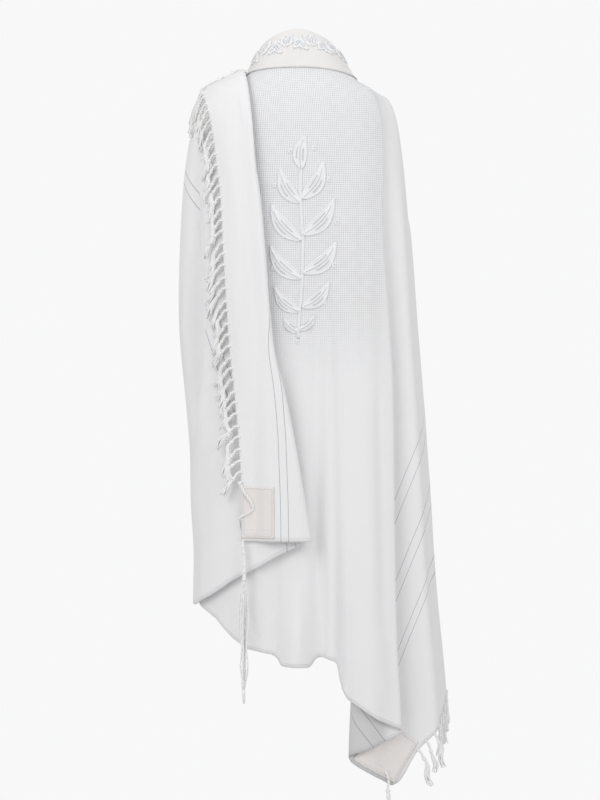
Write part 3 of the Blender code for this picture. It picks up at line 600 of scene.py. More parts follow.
def panel_column(kind, key, level, out=0.0):
    """Points down one column of the back. key is an angle, share or turn."""
    if kind == "left":
        return cloth_point(np.full_like(level, key), level, out)
    height = plain_point(FOLD_READ_DEG, level)[..., 2]
    edge, overlap = deep_fold("x_edge", height), deep_fold("overlap", height)
    depth = deep_fold("depth", height)
    if kind == "back":
        left = BACK_LEFT_SHARE * half_width(level, -1)
        x = left + (edge - BACK_ENDS_BEFORE - left) * key
        return cloth_point(angle_at(x, level), level, out, creases=BACK_CREASES)
    if kind == "turn":
        x = edge + turn_value("shift", key) * overlap + key * stack_spread(overlap)
        return cloth_point(angle_at(x, level), level, out - turn_value("depth", key) * depth)
    start = edge + (LAST_TURN + 1) * stack_spread(overlap) + WING_BEGINS_BEHIND
    drop = depth * (1.0 - smooth((key - 0.02) / 0.16))
    return cloth_point(wing_degrees(angle_at(start, level), key), level, out - drop)


def panel_hem(kind, key):
    """Height of the lower edge below one column of the back."""
    if kind == "left":
        return read(LEFT_HEM, "place", "z", key)
    if kind == "back":
        first, last = BACK_HEM[0].place, BACK_HEM[-1].place
        return read_straight(BACK_HEM, first + (last - first) * key)
    if kind == "turn":
        share = key / LAST_TURN
        if share < INNER_FOLD_SHARE:
            outer = BACK_HEM[-1].z
            return outer + (INNER_FOLD_HEM_Z - outer) * smooth(share / INNER_FOLD_SHARE)
        corner = FRINGED_EDGE[0].z
        rest = (share - INNER_FOLD_SHARE) / (1.0 - INNER_FOLD_SHARE)
        return INNER_FOLD_HEM_Z + (corner - INNER_FOLD_HEM_Z) * rest ** 1.4
    return read(FRINGED_EDGE, "place", "z", wing_degrees(WING_BEGINS_DEG, key))


# The line that the stripes run along on the right wing: straight and steep seen
# from behind, then by angle round the arm to the front. In the deep fold it
# falls by a step for each turn, more steeply on the side that is doubled back.
STRIPE_START = (0.1998, -1.1229)
STRIPE_SLOPE = 2.44
STRIPE_FLATTENED = 0.913
STRIPE_RUN = (
    Hem("arm side", 75.0, -1.000),
    Hem("past the side", 90.0, -0.966),
    Hem("towards the front", 105.0, -0.928),
    Hem("arm front", 130.0, -0.829),
    Hem("front edge", 163.0, -0.719),
)
STRIPE_ROUND_FROM_DEG = 72.0
STRIPE_ROUND_OVER_DEG = 16.0
STRIPE_LAST_TURN_Z = -1.199
STRIPE_INNER_TURN = LAST_TURN - 3
STRIPE_INNER_DROP = 0.138
STRIPE_DOUBLED_DROP = 0.19


def stripe_distance(kind, key, points):
    """Distance of the places of a column from the stripes' own line."""
    if kind == "right":
        angle = wing_degrees(WING_BEGINS_DEG, key)
        seen = STRIPE_START[1] + STRIPE_SLOPE * (points[:, 0] - STRIPE_START[0])
        rounded = smooth((angle - STRIPE_ROUND_FROM_DEG) / STRIPE_ROUND_OVER_DEG)
        line = seen + (read(STRIPE_RUN, "place", "z", angle) - seen) * rounded
    elif key < STRIPE_INNER_TURN:
        line = (STRIPE_LAST_TURN_Z - STRIPE_INNER_DROP
                - STRIPE_DOUBLED_DROP * (STRIPE_INNER_TURN - key) / (STRIPE_INNER_TURN - 1))
    else:
        line = STRIPE_LAST_TURN_Z - STRIPE_INNER_DROP * (LAST_TURN - key) / (
            LAST_TURN - STRIPE_INNER_TURN)
    return STRIPE_LINES[0] + (points[:, 2] - line) * STRIPE_FLATTENED


def column_levels(yoke_levels, hem_z, shares):
    """Levels down one column: over the shoulder, then evenly to the hem."""
    return np.concatenate([yoke_levels, level_at(BODY_TOP + (hem_z - BODY_TOP) * shares)])


def down_cloth(points, yoke_rows):
    """Depth below the nape measured along the cloth, and distance to the hem."""
    down = arc(points, 0)
    return down - down[[yoke_rows - 1]] - BODY_TOP, down[-1] - down


turn_keys = np.concatenate([np.linspace(0.0, 3.0, 17), np.linspace(3.35, 4.65, 4),
                            np.linspace(5.0, 7.4, 12), np.linspace(7.8, 9.0, 4)])
panel_keys = [(kind, key) for kind, row in (
    ("left", np.linspace(-FRONT_EDGE_DEG, -82.0, LEFT_COLUMNS)),
    ("back", np.linspace(0.0, 1.0, BACK_COLUMNS)), ("turn", turn_keys),
    ("right", np.linspace(0.0, 1.0, RIGHT_COLUMNS))) for key in row]
yoke_levels = np.linspace(0.0, BODY_RING, YOKE_ROWS)
body_shares = np.linspace(0.0, 1.0, BODY_ROWS + 1)[1:]
columns, stripe_columns = [], []
for kind, key in panel_keys:
    levels = column_levels(yoke_levels, panel_hem(kind, key), body_shares)
    points = panel_column(kind, key, levels)
    columns.append(points)
    stripe_columns.append(stripe_distance(kind, key, points) if kind in ("right", "turn")
                          else np.ones(len(levels)))
panel_points = ease_rows(np.stack(columns, axis=1), 3)
kinds = np.array([kind for kind, _ in panel_keys])
keys = np.array([key for _, key in panel_keys])
STRIPED_FROM_TURN = 2.6
panel_striped = (kinds == "right") | ((kinds == "turn") & (keys > STRIPED_FROM_TURN))
# The weave is counted from the middle of the back, on a row below the shoulders.
MIDDLE_ROW = 60
panel_across = arc(panel_points, 1)
back_x = panel_points[MIDDLE_ROW, LEFT_COLUMNS:LEFT_COLUMNS + BACK_COLUMNS, 0]
panel_across -= panel_across[:, [LEFT_COLUMNS + int(np.argmin(np.abs(back_x)))]]
panel_down, panel_hem_distance = down_cloth(panel_points, YOKE_ROWS)
# The open weave covers the back and fades towards the arms and the waist.
OPEN_MIDDLE = 0.012
OPEN_HALF_WIDTH = 0.135
OPEN_FOOT = 0.44
open_side = 1.0 - smooth((np.abs(panel_across - OPEN_MIDDLE) - OPEN_HALF_WIDTH) / 0.05)
open_foot = 1.0 - smooth((panel_down - OPEN_FOOT) / 0.20)
panel_open = open_side * open_foot * np.where(kinds == "left", 0.0, 1.0)
# Painted shade inside the deep fold: where the cloth doubles back, the turned layers are painted
# greyer below the hem, for the shade that falls between the layers.
FOLD_SHADE_FROM_TURN = 2.4
FOLD_SHADE_BELOW_Z = -1.0
turned = np.where(kinds == "turn", smooth((keys - FOLD_SHADE_FROM_TURN) / 0.8), 0.0)
panel_fold_shade = turned * smooth((FOLD_SHADE_BELOW_Z - panel_points[..., 2]) / 0.15)
back_cloth = cloth_piece(
    "back_cloth", "back_panel", panel_points, wool, CLOTH_WALL, panel_across, -panel_down,
    {"open": panel_open, "stripe": np.stack(stripe_columns, axis=1),
     "striped": np.broadcast_to(panel_striped, panel_down.shape),
     "hem": panel_hem_distance, "painted_fold_shade": panel_fold_shade})

# Left wing
# The same cloth going on round the left arm to the front. It comes back behind
# the arm with a deep crease and lies on the back under the thrown end.
Layer = namedtuple("Layer", "height wing flap")
LAYERS = (
    Layer(0.000, 0.0059, 0.0176),
    Layer(-0.100, 0.0100, 0.0230),
    Layer(-0.200, 0.0125, 0.0270),
    Layer(-0.350, 0.0150, 0.0310),
    Layer(-0.920, 0.0150, 0.0320),
)
FlapEdge = namedtuple("FlapEdge", "height x_fold x_fringe")
FLAP_EDGES = (
    FlapEdge(-0.04, -0.100, -0.172),
    FlapEdge(-0.08, -0.095, -0.167),
    FlapEdge(-0.17, -0.082, -0.149),
    FlapEdge(-0.23, -0.072, -0.140),
    FlapEdge(-0.36, -0.059, -0.132),
    FlapEdge(-0.48, -0.050, -0.125),
    FlapEdge(-0.55, -0.042, -0.120),
    FlapEdge(-0.63, -0.023, -0.111),
    FlapEdge(-0.71, -0.007, -0.104),
    FlapEdge(-0.81, 0.010, -0.099),
    FlapEdge(-0.91, 0.026, -0.099),
)
WING_HEM = (
    Hem("under the flap fold", 0.006, -0.913),
    Hem("right", -0.033, -0.930),
    Hem("middle", -0.071, -0.951),
    Hem("left of the flap", -0.127, -0.981),
    Hem("left", -0.165, -1.009),
    Hem("left silhouette", -0.203, -1.033),
)
# Below the elbow the wing closes on the back panel at the silhouette.
WING_CLOSED = 0.0060
CLOSED_PAST_DEG = -56.0
CLOSED_BELOW_Z = -0.82
WING_CREASES = (
    Crease("elbow pull", -0.186, -0.460, -0.130, -0.640, 0.010, -0.0022),
    Crease("below the elbow", -0.180, -0.600, -0.150, -0.860, 0.012, 0.0026),
    Crease("long left", -0.160, -0.560, -0.168, -0.960, 0.009, -0.0024),
    Crease("under the flap", -0.070, -0.700, -0.060, -0.920, 0.014, 0.0020),
    Crease("hem swell", -0.100, -0.860, -0.104, -0.985, 0.010, 0.0028),
)
# The pair of stripes on the wing. On the back each runs along a slanting line,
# x across by height. Past the arm crease they go on round the arm, higher up,
# because the crease swallows a hand's breadth of cloth.
StripeLine = namedtuple("StripeLine", "height upper lower")
WING_STRIPE_BACK = (
    StripeLine(-0.911, -0.0035, -0.0203),
    StripeLine(-0.700, -0.0852, -0.1041),
    StripeLine(-0.5946, -0.1260, -0.1460),
    StripeLine(-0.5185, -0.1555, -0.1708),
    StripeLine(-0.455, -0.1765, -0.1905),
    StripeLine(-0.380, -0.2010, -0.2150),
)
StripeRound = namedtuple("StripeRound", "angle upper lower")
WING_STRIPE_ROUND = (
    StripeRound(-57.0, -0.252, -0.283),
    StripeRound(-63.0, -0.232, -0.260),
    StripeRound(-75.0, -0.205, -0.230),
    StripeRound(-90.0, -0.193, -0.212),
    StripeRound(-130.0, -0.165, -0.181),
    StripeRound(-163.0, -0.150, -0.166),
)
STRIPES_PAST_CREASE = -58.0
PAIR_MIDDLE = 0.235
PAIR_REACH = 0.06
WING_TOP_LEVEL = 1.16
# The wing starts under the flap's fold, and its swell before the arm crease
# keeps some degrees away from there. Heights are read in the wing's middle.
WING_START = 0.0225
SWELL_PAST_START = 12.0
WING_READ_DEG = -40.0
WING_YOKE_ROWS = 36
WING_BODY_ROWS = 104
WING_BACK_COLUMNS = 42
WING_SIDE_COLUMNS = 54


def wing_column(index, level):
    """Points down one column of the wing, with the angle of each."""
    height = plain_point(WING_READ_DEG, level)[..., 2]
    start_x = read(FLAP_EDGES, "height", "x_fold", height) - WING_START
    inside = start_x > -half_width(level, -1)
    first = np.where(inside, angle_at(start_x, level), -90.0)
    swell = np.minimum(read(ARM_CREASE, "height", "swell", height), first - SWELL_PAST_START)
    if index < WING_BACK_COLUMNS:
        share = index / WING_BACK_COLUMNS
        ends = [plain_point(angle, level)[..., 0] for angle in (first, swell)]
        by_place = angle_at(ends[0] + (ends[1] - ends[0]) * share, level)
        degrees = np.where(first > -80.0, by_place, first + (swell - first) * share)
    else:
        share = (index - WING_BACK_COLUMNS) / (WING_SIDE_COLUMNS - 1)
        degrees = swell + (-FRONT_EDGE_DEG - swell) * share
    closed = (smooth((CLOSED_PAST_DEG - degrees) / 14.0)
              * smooth((CLOSED_BELOW_Z - height) / 0.14))
    out = read(LAYERS, "height", "wing", height)
    out = out + (WING_CLOSED - out) * closed
    return cloth_point(degrees, level, out, outer_layer=True, creases=WING_CREASES), degrees


def wing_hem(index):
    if index <= WING_BACK_COLUMNS:
        first, last = WING_HEM[0].place, WING_HEM[-1].place
        return read(WING_HEM, "place", "z", first + (last - first) * index / WING_BACK_COLUMNS)
    share = (index - WING_BACK_COLUMNS) / (WING_SIDE_COLUMNS - 1)
    first = ARM_CREASE[-1].swell
    return read(LEFT_HEM, "place", "z", first + (-FRONT_EDGE_DEG - first) * share)


def pair_share(table, key, at, place):
    """Share of the way from the pair's upper line to its lower one."""
    upper, lower = read(table, key, "upper", at), read(table, key, "lower", at)
    return (upper - place) / (upper - lower)


columns, angles = [], []
yoke_levels = np.linspace(WING_TOP_LEVEL, BODY_RING, WING_YOKE_ROWS)
body_shares = np.linspace(0.0, 1.0, WING_BODY_ROWS + 1)[1:]
for index in range(WING_BACK_COLUMNS + WING_SIDE_COLUMNS):
    points, degrees = wing_column(index, column_levels(yoke_levels, wing_hem(index), body_shares))
    columns.append(points)
    angles.append(degrees)
wing_points = ease_rows(np.stack(columns, axis=1), 3)
wing_angles = np.stack(angles, axis=1)
wing_down, wing_hem_distance = down_cloth(wing_points, WING_YOKE_ROWS)
wing_x, wing_z = wing_points[..., 0], wing_points[..., 2]
share = np.where(wing_angles > STRIPES_PAST_CREASE,
                 pair_share(WING_STRIPE_BACK, "height", wing_z, wing_x),
                 pair_share(WING_STRIPE_ROUND, "angle", wing_angles, wing_z))
wing_stripe = STRIPE_LINES[0] + (STRIPE_LINES[1] - STRIPE_LINES[0]) * share
wing_cloth = cloth_piece(
    "wing_cloth", "left_wing", wing_points, wool, CLOTH_WALL,
    -arc(wing_points, 1), -wing_down,
    {"stripe": wing_stripe, "striped": np.abs(wing_stripe - PAIR_MIDDLE) < PAIR_REACH,
     "hem": wing_hem_distance}, inside_out=True)

# Thrown end
# The fringed left end, folded lengthways, thrown back over the left shoulder.
# It hangs down the back as a flat flap with a soft fold on its right side.
FLAP_FOLDS = (
    Fold("long trough", -0.100, -0.076, 0.015, -0.004, -0.007, -0.10, -0.60),
    Fold("fold swell", -0.072, 0.000, 0.016, 0.000, 0.004, -0.20, -0.90),
    Fold("fringe swell", -0.140, -0.105, 0.014, 0.001, 0.003, -0.15, -0.60),
)
FLAP_CREASES = (
    Crease("trough edge", -0.112, -0.140, -0.092, -0.560, 0.006, 0.0014),
    Crease("low swell", -0.064, -0.560, -0.040, -0.880, 0.012, 0.0020),
    Crease("foot", -0.086, -0.700, -0.070, -0.895, 0.010, -0.0016),
)
FoldStep = namedtuple("FoldStep", "place name inwards layer")
FOLD_STEPS = (
    FoldStep(0, "end behind", 0.0205, 0.00),
    FoldStep(1, "behind", 0.0120, 0.00),
    FoldStep(2, "turn begins", 0.0035, 0.10),
    FoldStep(3, "turn", 0.0000, 0.50),
    FoldStep(4, "turn ends", 0.0035, 0.90),
    FoldStep(5, "out", 0.0120, 1.00),
)
FLAP_HEM_Z = -0.905
FLAP_TAIL_Z = -0.310
FLAP_LIES_ON_Z = -0.20
FLAP_LIES_ON_LAYER = 0.46
FLAP_TAIL_ROWS = 16
FLAP_CREST_ROWS = 22
FLAP_BODY_ROWS = 112
FLAP_FOLD_COLUMNS = 20
FLAP_FLAT_COLUMNS = 26
CREST_Z = -0.045
FRONT_X_FOLD = -0.084
FRONT_X_FRINGE = -0.140
FLAP_EDGE_SINKS = 0.0075
FLAP_SINKS_PAST_COLUMN = FLAP_FOLD_COLUMNS + 12
# The flap shows the weave's first pair of stripes. They lie closer together
# than the table's own, and the fold takes them to the hidden side higher up.
FLAP_STRIPE = 0.0785
FLAP_STRIPES_CLOSER = 2.0
TAKEN_ROUND = 0.024
TAKEN_ROUND_ABOVE_Z = -0.56


def level_of_half_width(width):
    """Level on the yoke where the left half width reaches a size."""
    levels = np.linspace(0.5, BODY_RING, 200)
    return np.interp(width, ring_value("left", levels), levels)


def at_level(level, in_front=False):
    """Way to place an x at one level, behind or in front."""
    def place(x):
        levels = np.full_like(x, level)
        degrees = angle_at(x, levels)
        return (-180.0 - degrees if in_front else degrees), levels
    return place


def over_crest(share):
    """Way to place an x over the shoulder, from -1 in front to 1 behind."""
    def place(x):
        crest = level_of_half_width(np.abs(x))
        level = crest + (BODY_RING - crest) * share * share
        degrees = np.where(np.abs(x) < half_width(level, -1), angle_at(x, level), -90.0)
        return (degrees if share >= 0 else -180.0 - degrees), level
    return place


def flap_row(fold_x, fringe_x, place):
    """Points across the flap. place gives the angle and level of an x."""
    turns = np.linspace(0, len(FOLD_STEPS) - 1, FLAP_FOLD_COLUMNS)
    inwards = read(FOLD_STEPS, "place", "inwards", turns)
    layer = np.clip(read(FOLD_STEPS, "place", "layer", turns), 0.0, 1.0)
    inner = fold_x - FOLD_STEPS[-1].inwards
    flat = np.linspace(0.0, 1.0, FLAP_FLAT_COLUMNS + 1)[1:]
    x = np.concatenate([fold_x - inwards, inner + (fringe_x - inner) * flat])
    layer = np.concatenate([layer, np.ones(FLAP_FLAT_COLUMNS)])
    degrees, level = place(x)
    height = plain_point(degrees, level)[..., 2]
    lies_on = np.where(np.abs(degrees) > 89.0, 1.0, smooth((height - FLAP_LIES_ON_Z) / 0.08 + 1))
    layer = np.maximum(layer, FLAP_LIES_ON_LAYER * lies_on)
    low = read(LAYERS, "height", "wing", height)
    out = low + (read(LAYERS, "height", "flap", height) - low) * layer
    out = out + np.where(np.abs(degrees) < 90.0, fold_depth(FLAP_FOLDS, x, height)
                         * smooth((layer - 0.5) * 2), 0.0)
    # The fringed edge sinks towards the wing below it.
    sunk = FLAP_EDGE_SINKS * smooth((np.arange(len(x)) - FLAP_SINKS_PAST_COLUMN) / 13.0)
    out = out - np.where(np.abs(degrees) < 75.0, sunk * smooth((-height - 0.10) / 0.12), 0.0)
    return cloth_point(degrees, level, out, outer_layer=True, creases=FLAP_CREASES)


def flap_edges(height):
    return (read(FLAP_EDGES, "height", "x_fold", height),
            read(FLAP_EDGES, "height", "x_fringe", height))


rows = []
for share in np.linspace(0.0, 1.0, FLAP_TAIL_ROWS + 1)[:-1]:
    level = level_at(FLAP_TAIL_Z + (BODY_TOP - FLAP_TAIL_Z) * share)
    rows.append(flap_row(FRONT_X_FOLD, FRONT_X_FRINGE, at_level(level, in_front=True)))
for share in np.linspace(-1.0, 1.0, 2 * FLAP_CREST_ROWS + 1):
    front = smooth(-share)
    fold_x, fringe_x = flap_edges(CREST_Z + (FLAP_LIES_ON_Z - CREST_Z) * max(share, 0.0) ** 1.5)
    rows.append(flap_row(fold_x + (FRONT_X_FOLD - fold_x) * front,
                         fringe_x + (FRONT_X_FRINGE - fringe_x) * front, over_crest(share)))
for share in np.linspace(0.0, 1.0, FLAP_BODY_ROWS + 1)[1:]:
    height = BODY_TOP + (FLAP_HEM_Z - BODY_TOP) * share
    rows.append(flap_row(*flap_edges(height), at_level(level_at(height))))
flap_points = ease_rows(np.stack(rows, axis=0), 3)
flap_across, flap_down = arc(flap_points, 1), arc(flap_points, 0)
flap_from_fringe = flap_across[:, [-1]] - flap_across
from_stripe = (flap_from_fringe
               - TAKEN_ROUND * smooth((flap_points[..., 2] - TAKEN_ROUND_ABOVE_Z) / 0.20)
               - FLAP_STRIPE)
flap_cloth = cloth_piece(
    "flap_cloth", "thrown_flap", flap_points, wool, CLOTH_WALL,
    flap_from_fringe, -flap_down,
    {"stripe": STRIPE_LINES[0] + from_stripe * FLAP_STRIPES_CLOSER,
     "striped": np.abs(from_stripe - 0.007) < 0.03,
     "hem": np.minimum(flap_down[-1] - flap_down, flap_down)}, inside_out=True)

# Neckband
# Warm white satin folded over the neck edge and sewn down on both sides, with
# a border of leaves worked in silver white silk round its outside.
BAND_WALL = 0.0011
BAND_FIRST_LEFT = -142.0
BAND_LAST_RIGHT = 0.80
BAND_ROWS = 30
BandStep = namedtuple("BandStep", "place name level out up")
BAND_STEPS = (
    BandStep(0, "inside edge", 0.28, -0.0036, 0.0),
    BandStep(1, "inner turn", 0.00, -0.0032, 0.0016),
    BandStep(2, "top", 0.00, 0.0000, 0.0034),
    BandStep(3, "outer turn", 0.00, 0.0032, 0.0016),
    BandStep(4, "upper", 0.28, 0.0040, 0.0),
    BandStep(5, "middle", 0.62, 0.0036, 0.0),
    BandStep(6, "lower edge", 1.00, 0.0027, 0.0),
)

SATIN_LIGHT = (0.855, 0.845, 0.83)
SATIN_DULL = (0.805, 0.79, 0.77)
satin = Finish("warm satin", SATIN_LIGHT, 0.42, 0.2)
place = satin.cloth_place()
cloudy = satin.noise(place, 24.0, 40.0, 3.0)
ribs = satin.noise(place, 40.0, 900.0, 2.0)
satin.put(satin.mix(cloudy, SATIN_LIGHT, SATIN_DULL), satin.shader["Base Color"])
satin.put(satin.times_plus(cloudy, 0.2, 0.34), satin.shader["Roughness"])
satin.bump(satin.times_plus(ribs, 0.3, cloudy), 0.0008, 0.5)

steps = np.concatenate([np.linspace(0.0, 4.0, BAND_ROWS - 12), np.linspace(4.0, 6.0, 13)[1:]])
band_level = np.clip(read(BAND_STEPS, "place", "level", steps), 0.0, 1.0)
band_out = read(BAND_STEPS, "place", "out", steps)
band_up = np.clip(read(BAND_STEPS, "place", "up", steps), 0.0, 1.0)
columns = []
for kind, key in panel_keys:
    if kind == "left" and key < BAND_FIRST_LEFT or kind == "right" and key > BAND_LAST_RIGHT:
        continue
    column = panel_column(kind, key, band_level, band_out)
    rise = panel_column(kind, key, np.array([0.0])) - panel_column(kind, key, np.array([0.1]))
    columns.append(column + rise / np.linalg.norm(rise) * band_up[:, None])
band_points = np.stack(columns, axis=1)
band_across, band_down = arc(band_points, 1), arc(band_points, 0)
neckband_satin = cloth_piece("neckband_satin", "neckband", band_points, satin, BAND_WALL,
                             band_across, -band_down, {})

# Corner patches
# Cream satin squares sewn on all four corners, where the long tassels are tied.
# Each has a stitched border, two more rows along its lower side and an eyelet.
PATCH_WALL = 0.0009
PATCH_CELLS = 26
Patch = namedtuple("Patch", "name x z side_x side_z up_x up_z width height seen_from lift")
PATCHES = (
    Patch("patch_flap", -0.1052, -0.8990, 1.00, 0.00, -0.01, 1.00, 0.062, 0.097, -1, 0.0015),
    Patch("patch_flap_front", -0.1450, -0.3030, 1.00, 0.00, 0.00, 1.00, 0.036, 0.066, 1, 0.0015),
    Patch("patch_right_wing", 0.1825, -1.3665, -0.85, 0.53, 0.53, 0.85, 0.091, 0.089, -1, 0.0017),
    Patch("patch_right_front", 0.1050, -0.9250, 0.85, -0.53, 0.00, 1.00, 0.052, 0.080, 1, 0.0016),
)
Yarn = namedtuple("Yarn", "points faces lengths")


def tree_of(points):
    """Search tree over a grid of points."""
    quads = grid_quads(points)
    triangles = np.concatenate([quads[:, [0, 1, 2]], quads[:, [0, 2, 3]]])
    return BVHTree.FromPolygons(points.reshape(-1, 3).tolist(), triangles.tolist())


def cast_y(tree, x, z, seen_from, lift):
    """Place on a cloth seen at x and z from behind (-1) or from the front (1)."""
    place, normal, _, _ = tree.ray_cast(Vector((x, seen_from, z)), Vector((0, -seen_from, 0)))
    if place is None:
        return None
    if normal.y * seen_from < 0:
        normal = -normal
    return np.array(place + normal * lift)


def spline(points, count):
    """Even places on a smooth curve through a few points."""
    points = np.array(points, float)
    steps = arc(points, 0)
    slopes = np.gradient(points, steps, axis=0)
    at = np.linspace(0, steps[-1], count)
    index = np.clip(np.searchsorted(steps, at, side="right") - 1, 0, len(steps) - 2)
    span = (steps[index + 1] - steps[index])[:, None]
    return hermite(points[index], points[index + 1], slopes[index] * span,
                   slopes[index + 1] * span, (at - steps[index])[:, None] / span)


def frames(path):
    """Two directions square to a path at each of its points, without twist."""
    tangents = np.gradient(path, axis=0)
    tangents /= np.maximum(np.linalg.norm(tangents, axis=1, keepdims=True), 1e-9)
    first = np.cross(tangents[0], (0.31, 0.90, 0.24))
    firsts = []
    for tangent in tangents:
        first = first - tangent * np.dot(first, tangent)
        first = first / np.linalg.norm(first)
        firsts.append(first)
    firsts = np.array(firsts)
    return firsts, np.cross(tangents, firsts)


def tube(yarn, path, radius, sides):
    """Closed tube along a path."""
    first, second = frames(path)
    turns = np.linspace(0, math.tau, sides, endpoint=False)[:, None]
    ring = first[:, None] * np.cos(turns) + second[:, None] * np.sin(turns)
    points = path[:, None] + ring * np.broadcast_to(radius, len(path))[:, None, None]
    index = np.arange(len(path) * sides).reshape(len(path), sides) + len(yarn.points)
    following = np.roll(index, -1, axis=1)
    quads = np.stack([index[:-1], following[:-1], following[1:], index[1:]], axis=-1)
    yarn.points.extend(points.reshape(-1, 3).tolist())
    yarn.faces.extend(quads.reshape(-1, 4).tolist())
    yarn.faces.append(index[0][::-1].tolist())
    yarn.faces.append(index[-1].tolist())
    yarn.lengths.extend(np.repeat(arc(path, 0), sides).tolist())


def yarn_piece(name, yarn, finish, node=None):
    """Object of all the tubes of a yarn."""
    return new_piece(name, yarn.points, yarn.faces, finish, node, {"length": yarn.lengths})


def on_sheet(points, row, column, out, facing):
    """Places on a grid by its rows and columns, lifted on the facing side."""
    row = np.clip(row, 0, points.shape[0] - 1.001)
    column = np.clip(column, 0, points.shape[1] - 1.001)
    i, j = row.astype(int), column.astype(int)
    down, right = (row - i)[..., None], (column - j)[..., None]
    here, beside, below = points[i, j], points[i, j + 1], points[i + 1, j]
    place = ((here * (1 - right) + beside * right) * (1 - down)
             + (below * (1 - right) + points[i + 1, j + 1] * right) * down)
    normal = np.cross(beside - here, below - here)
    normal /= np.maximum(np.linalg.norm(normal, axis=-1, keepdims=True), 1e-9)
    flipped = np.sum(normal * facing, axis=-1, keepdims=True) < 0
    return place + np.where(flipped, -normal, normal) * np.reshape(out, (-1, 1))


STITCH_LENGTH = 0.0034
STITCH_PITCH = 0.0048
STITCH_RADIUS = 0.00055


def stitch_row(yarn, points, start, end, facing):
    """Run of stitches between two places given as row and column."""
    ends = on_sheet(points, *np.array([start, end], float).T, 0.0, facing)
    length = np.linalg.norm(ends[1] - ends[0])
    for index in range(int(length / STITCH_PITCH)):
        low = (index + 0.15) * STITCH_PITCH / length
        share = np.linspace(low, low + STITCH_LENGTH / length, 4)
        row = start[0] + (end[0] - start[0]) * share
        column = start[1] + (end[1] - start[1]) * share
        out = PATCH_WALL / 2 + np.array([-0.0002, 0.0004, 0.0004, -0.0002])
        tube(yarn, on_sheet(points, row, column, out, facing), STITCH_RADIUS, 4)


# A small diagonal check is woven into the cream satin, bright and dull.
CHECK_PITCH = 0.0064
SEAM_INSET = 0.0046
CREAM_LIGHT = (0.895, 0.87, 0.85)
CREAM_DULL = (0.835, 0.800, 0.775)
CREAM_CLOUD = (0.74, 0.71, 0.68)
CREAM_SEAM = (0.60, 0.57, 0.54)
cream = Finish("cream satin", CREAM_DULL, 0.5, 0.15)
place = cream.cloth_place()
across, down = cream.split(place)
figure = cream.times(cream.wave(cream.math("ADD", across, down), CHECK_PITCH),
                     cream.wave(cream.math("SUBTRACT", across, down), CHECK_PITCH))
seam = cream.math("COMPARE", cream.attribute("edge"), SEAM_INSET, 0.0006)
base = cream.mix(figure, CREAM_DULL, CREAM_LIGHT)
base = cream.mix(cream.times(cream.noise(place, 60.0, 60.0, 3.0), 0.35), base, CREAM_CLOUD)
cream.put(cream.mix(cream.times(seam, 0.4), base, CREAM_SEAM), cream.shader["Base Color"])
cream.bump(cream.times_plus(figure, 0.35, cream.times(seam, -1.0)), 0.0005, 0.6)

silk = Finish("white silk", (0.95, 0.95, 0.955), 0.26, 0.3)
strand = silk.wave(silk.attribute("length"), 0.0016)
silk.put(silk.mix(strand, (0.96, 0.96, 0.965), (0.89, 0.895, 0.905)), silk.shader["Base Color"])
silk.bump(strand, 0.0002, 0.5)


# The seam puckers the satin a little, and it rises inside the seam.
PUCKER = 0.00025
PATCH_CROWN = 0.0004


def patch_grid(patch, tree):
    """Places of a patch on the cloth below it, and their distances from its edge."""
    shares = np.linspace(0.0, 1.0, PATCH_CELLS + 1)
    grid = np.zeros((len(shares), len(shares), 3))
    edge = np.zeros(grid.shape[:2])
    for row, up in enumerate(shares * patch.height):
        for column, side in enumerate(shares * patch.width):
            rim = min(side, patch.width - side, up, patch.height - up)
            pucker = PUCKER * math.sin(side * 420.0 + up * 130.0) * math.exp(-rim / 0.008)
            lift = patch.lift + PATCH_CROWN * float(smooth(rim / 0.005)) + pucker
            x = patch.x + patch.side_x * side + patch.up_x * up
            z = patch.z + patch.side_z * side + patch.up_z * up
            place = cast_y(tree, x, z, patch.seen_from, lift)
            if place is None:
                # Past the cloth's outline: the nearest place of the cloth instead.
                beside = grid[row, column - 1] if column else grid[row - 1, column]
                place, normal, _, _ = tree.find_nearest(Vector((x, beside[1], z)))
                normal = normal if normal.y * patch.seen_from > 0 else -normal
                place = np.array(place + normal * lift)
            grid[row, column], edge[row, column] = place, rim
    return grid, edge, *np.meshgrid(shares * patch.width, shares * patch.height)


lowest_layer = np.flatnonzero(((kinds == "turn") & (keys >= 7.0)) | (kinds == "right"))
lower_cloth = panel_points[:, lowest_layer]
flap_outer = flap_points[:, FLAP_FOLD_COLUMNS - 1:]
# Sewing inside the patch's edge, and its two rows above the lower side, as shares.
SEWN_INSET = 0.03
SEWN_ROWS_UP = (0.10, 0.17)
Sewn = namedtuple("Sewn", "grid facing")
sewn_patches = {}
for patch in PATCHES:
    on_right = "right" in patch.name
    grid, edge, sides, ups = patch_grid(patch, tree_of(lower_cloth if on_right else flap_outer))
    satin_patch = cloth_piece("satin_" + patch.name, patch.name, grid, cream, PATCH_WALL,
                              sides, ups, {"edge": edge})
    facing = np.array((0.0, patch.seen_from, 0.0))
    sewn_patches[patch.name] = Sewn(grid, facing)
    stitches = Yarn([], [], [])
    inset, far = PATCH_CELLS * SEWN_INSET, PATCH_CELLS * (1.0 - SEWN_INSET)
    corners = ((inset, inset), (inset, far), (far, far), (far, inset), (inset, inset))
    for start, end in zip(corners, corners[1:]):
        stitch_row(stitches, grid, start, end, facing)
    for up in SEWN_ROWS_UP:
        stitch_row(stitches, grid, (PATCH_CELLS * up, inset), (PATCH_CELLS * up, far), facing)
    yarn_piece("sewing_" + patch.name, stitches, silk)

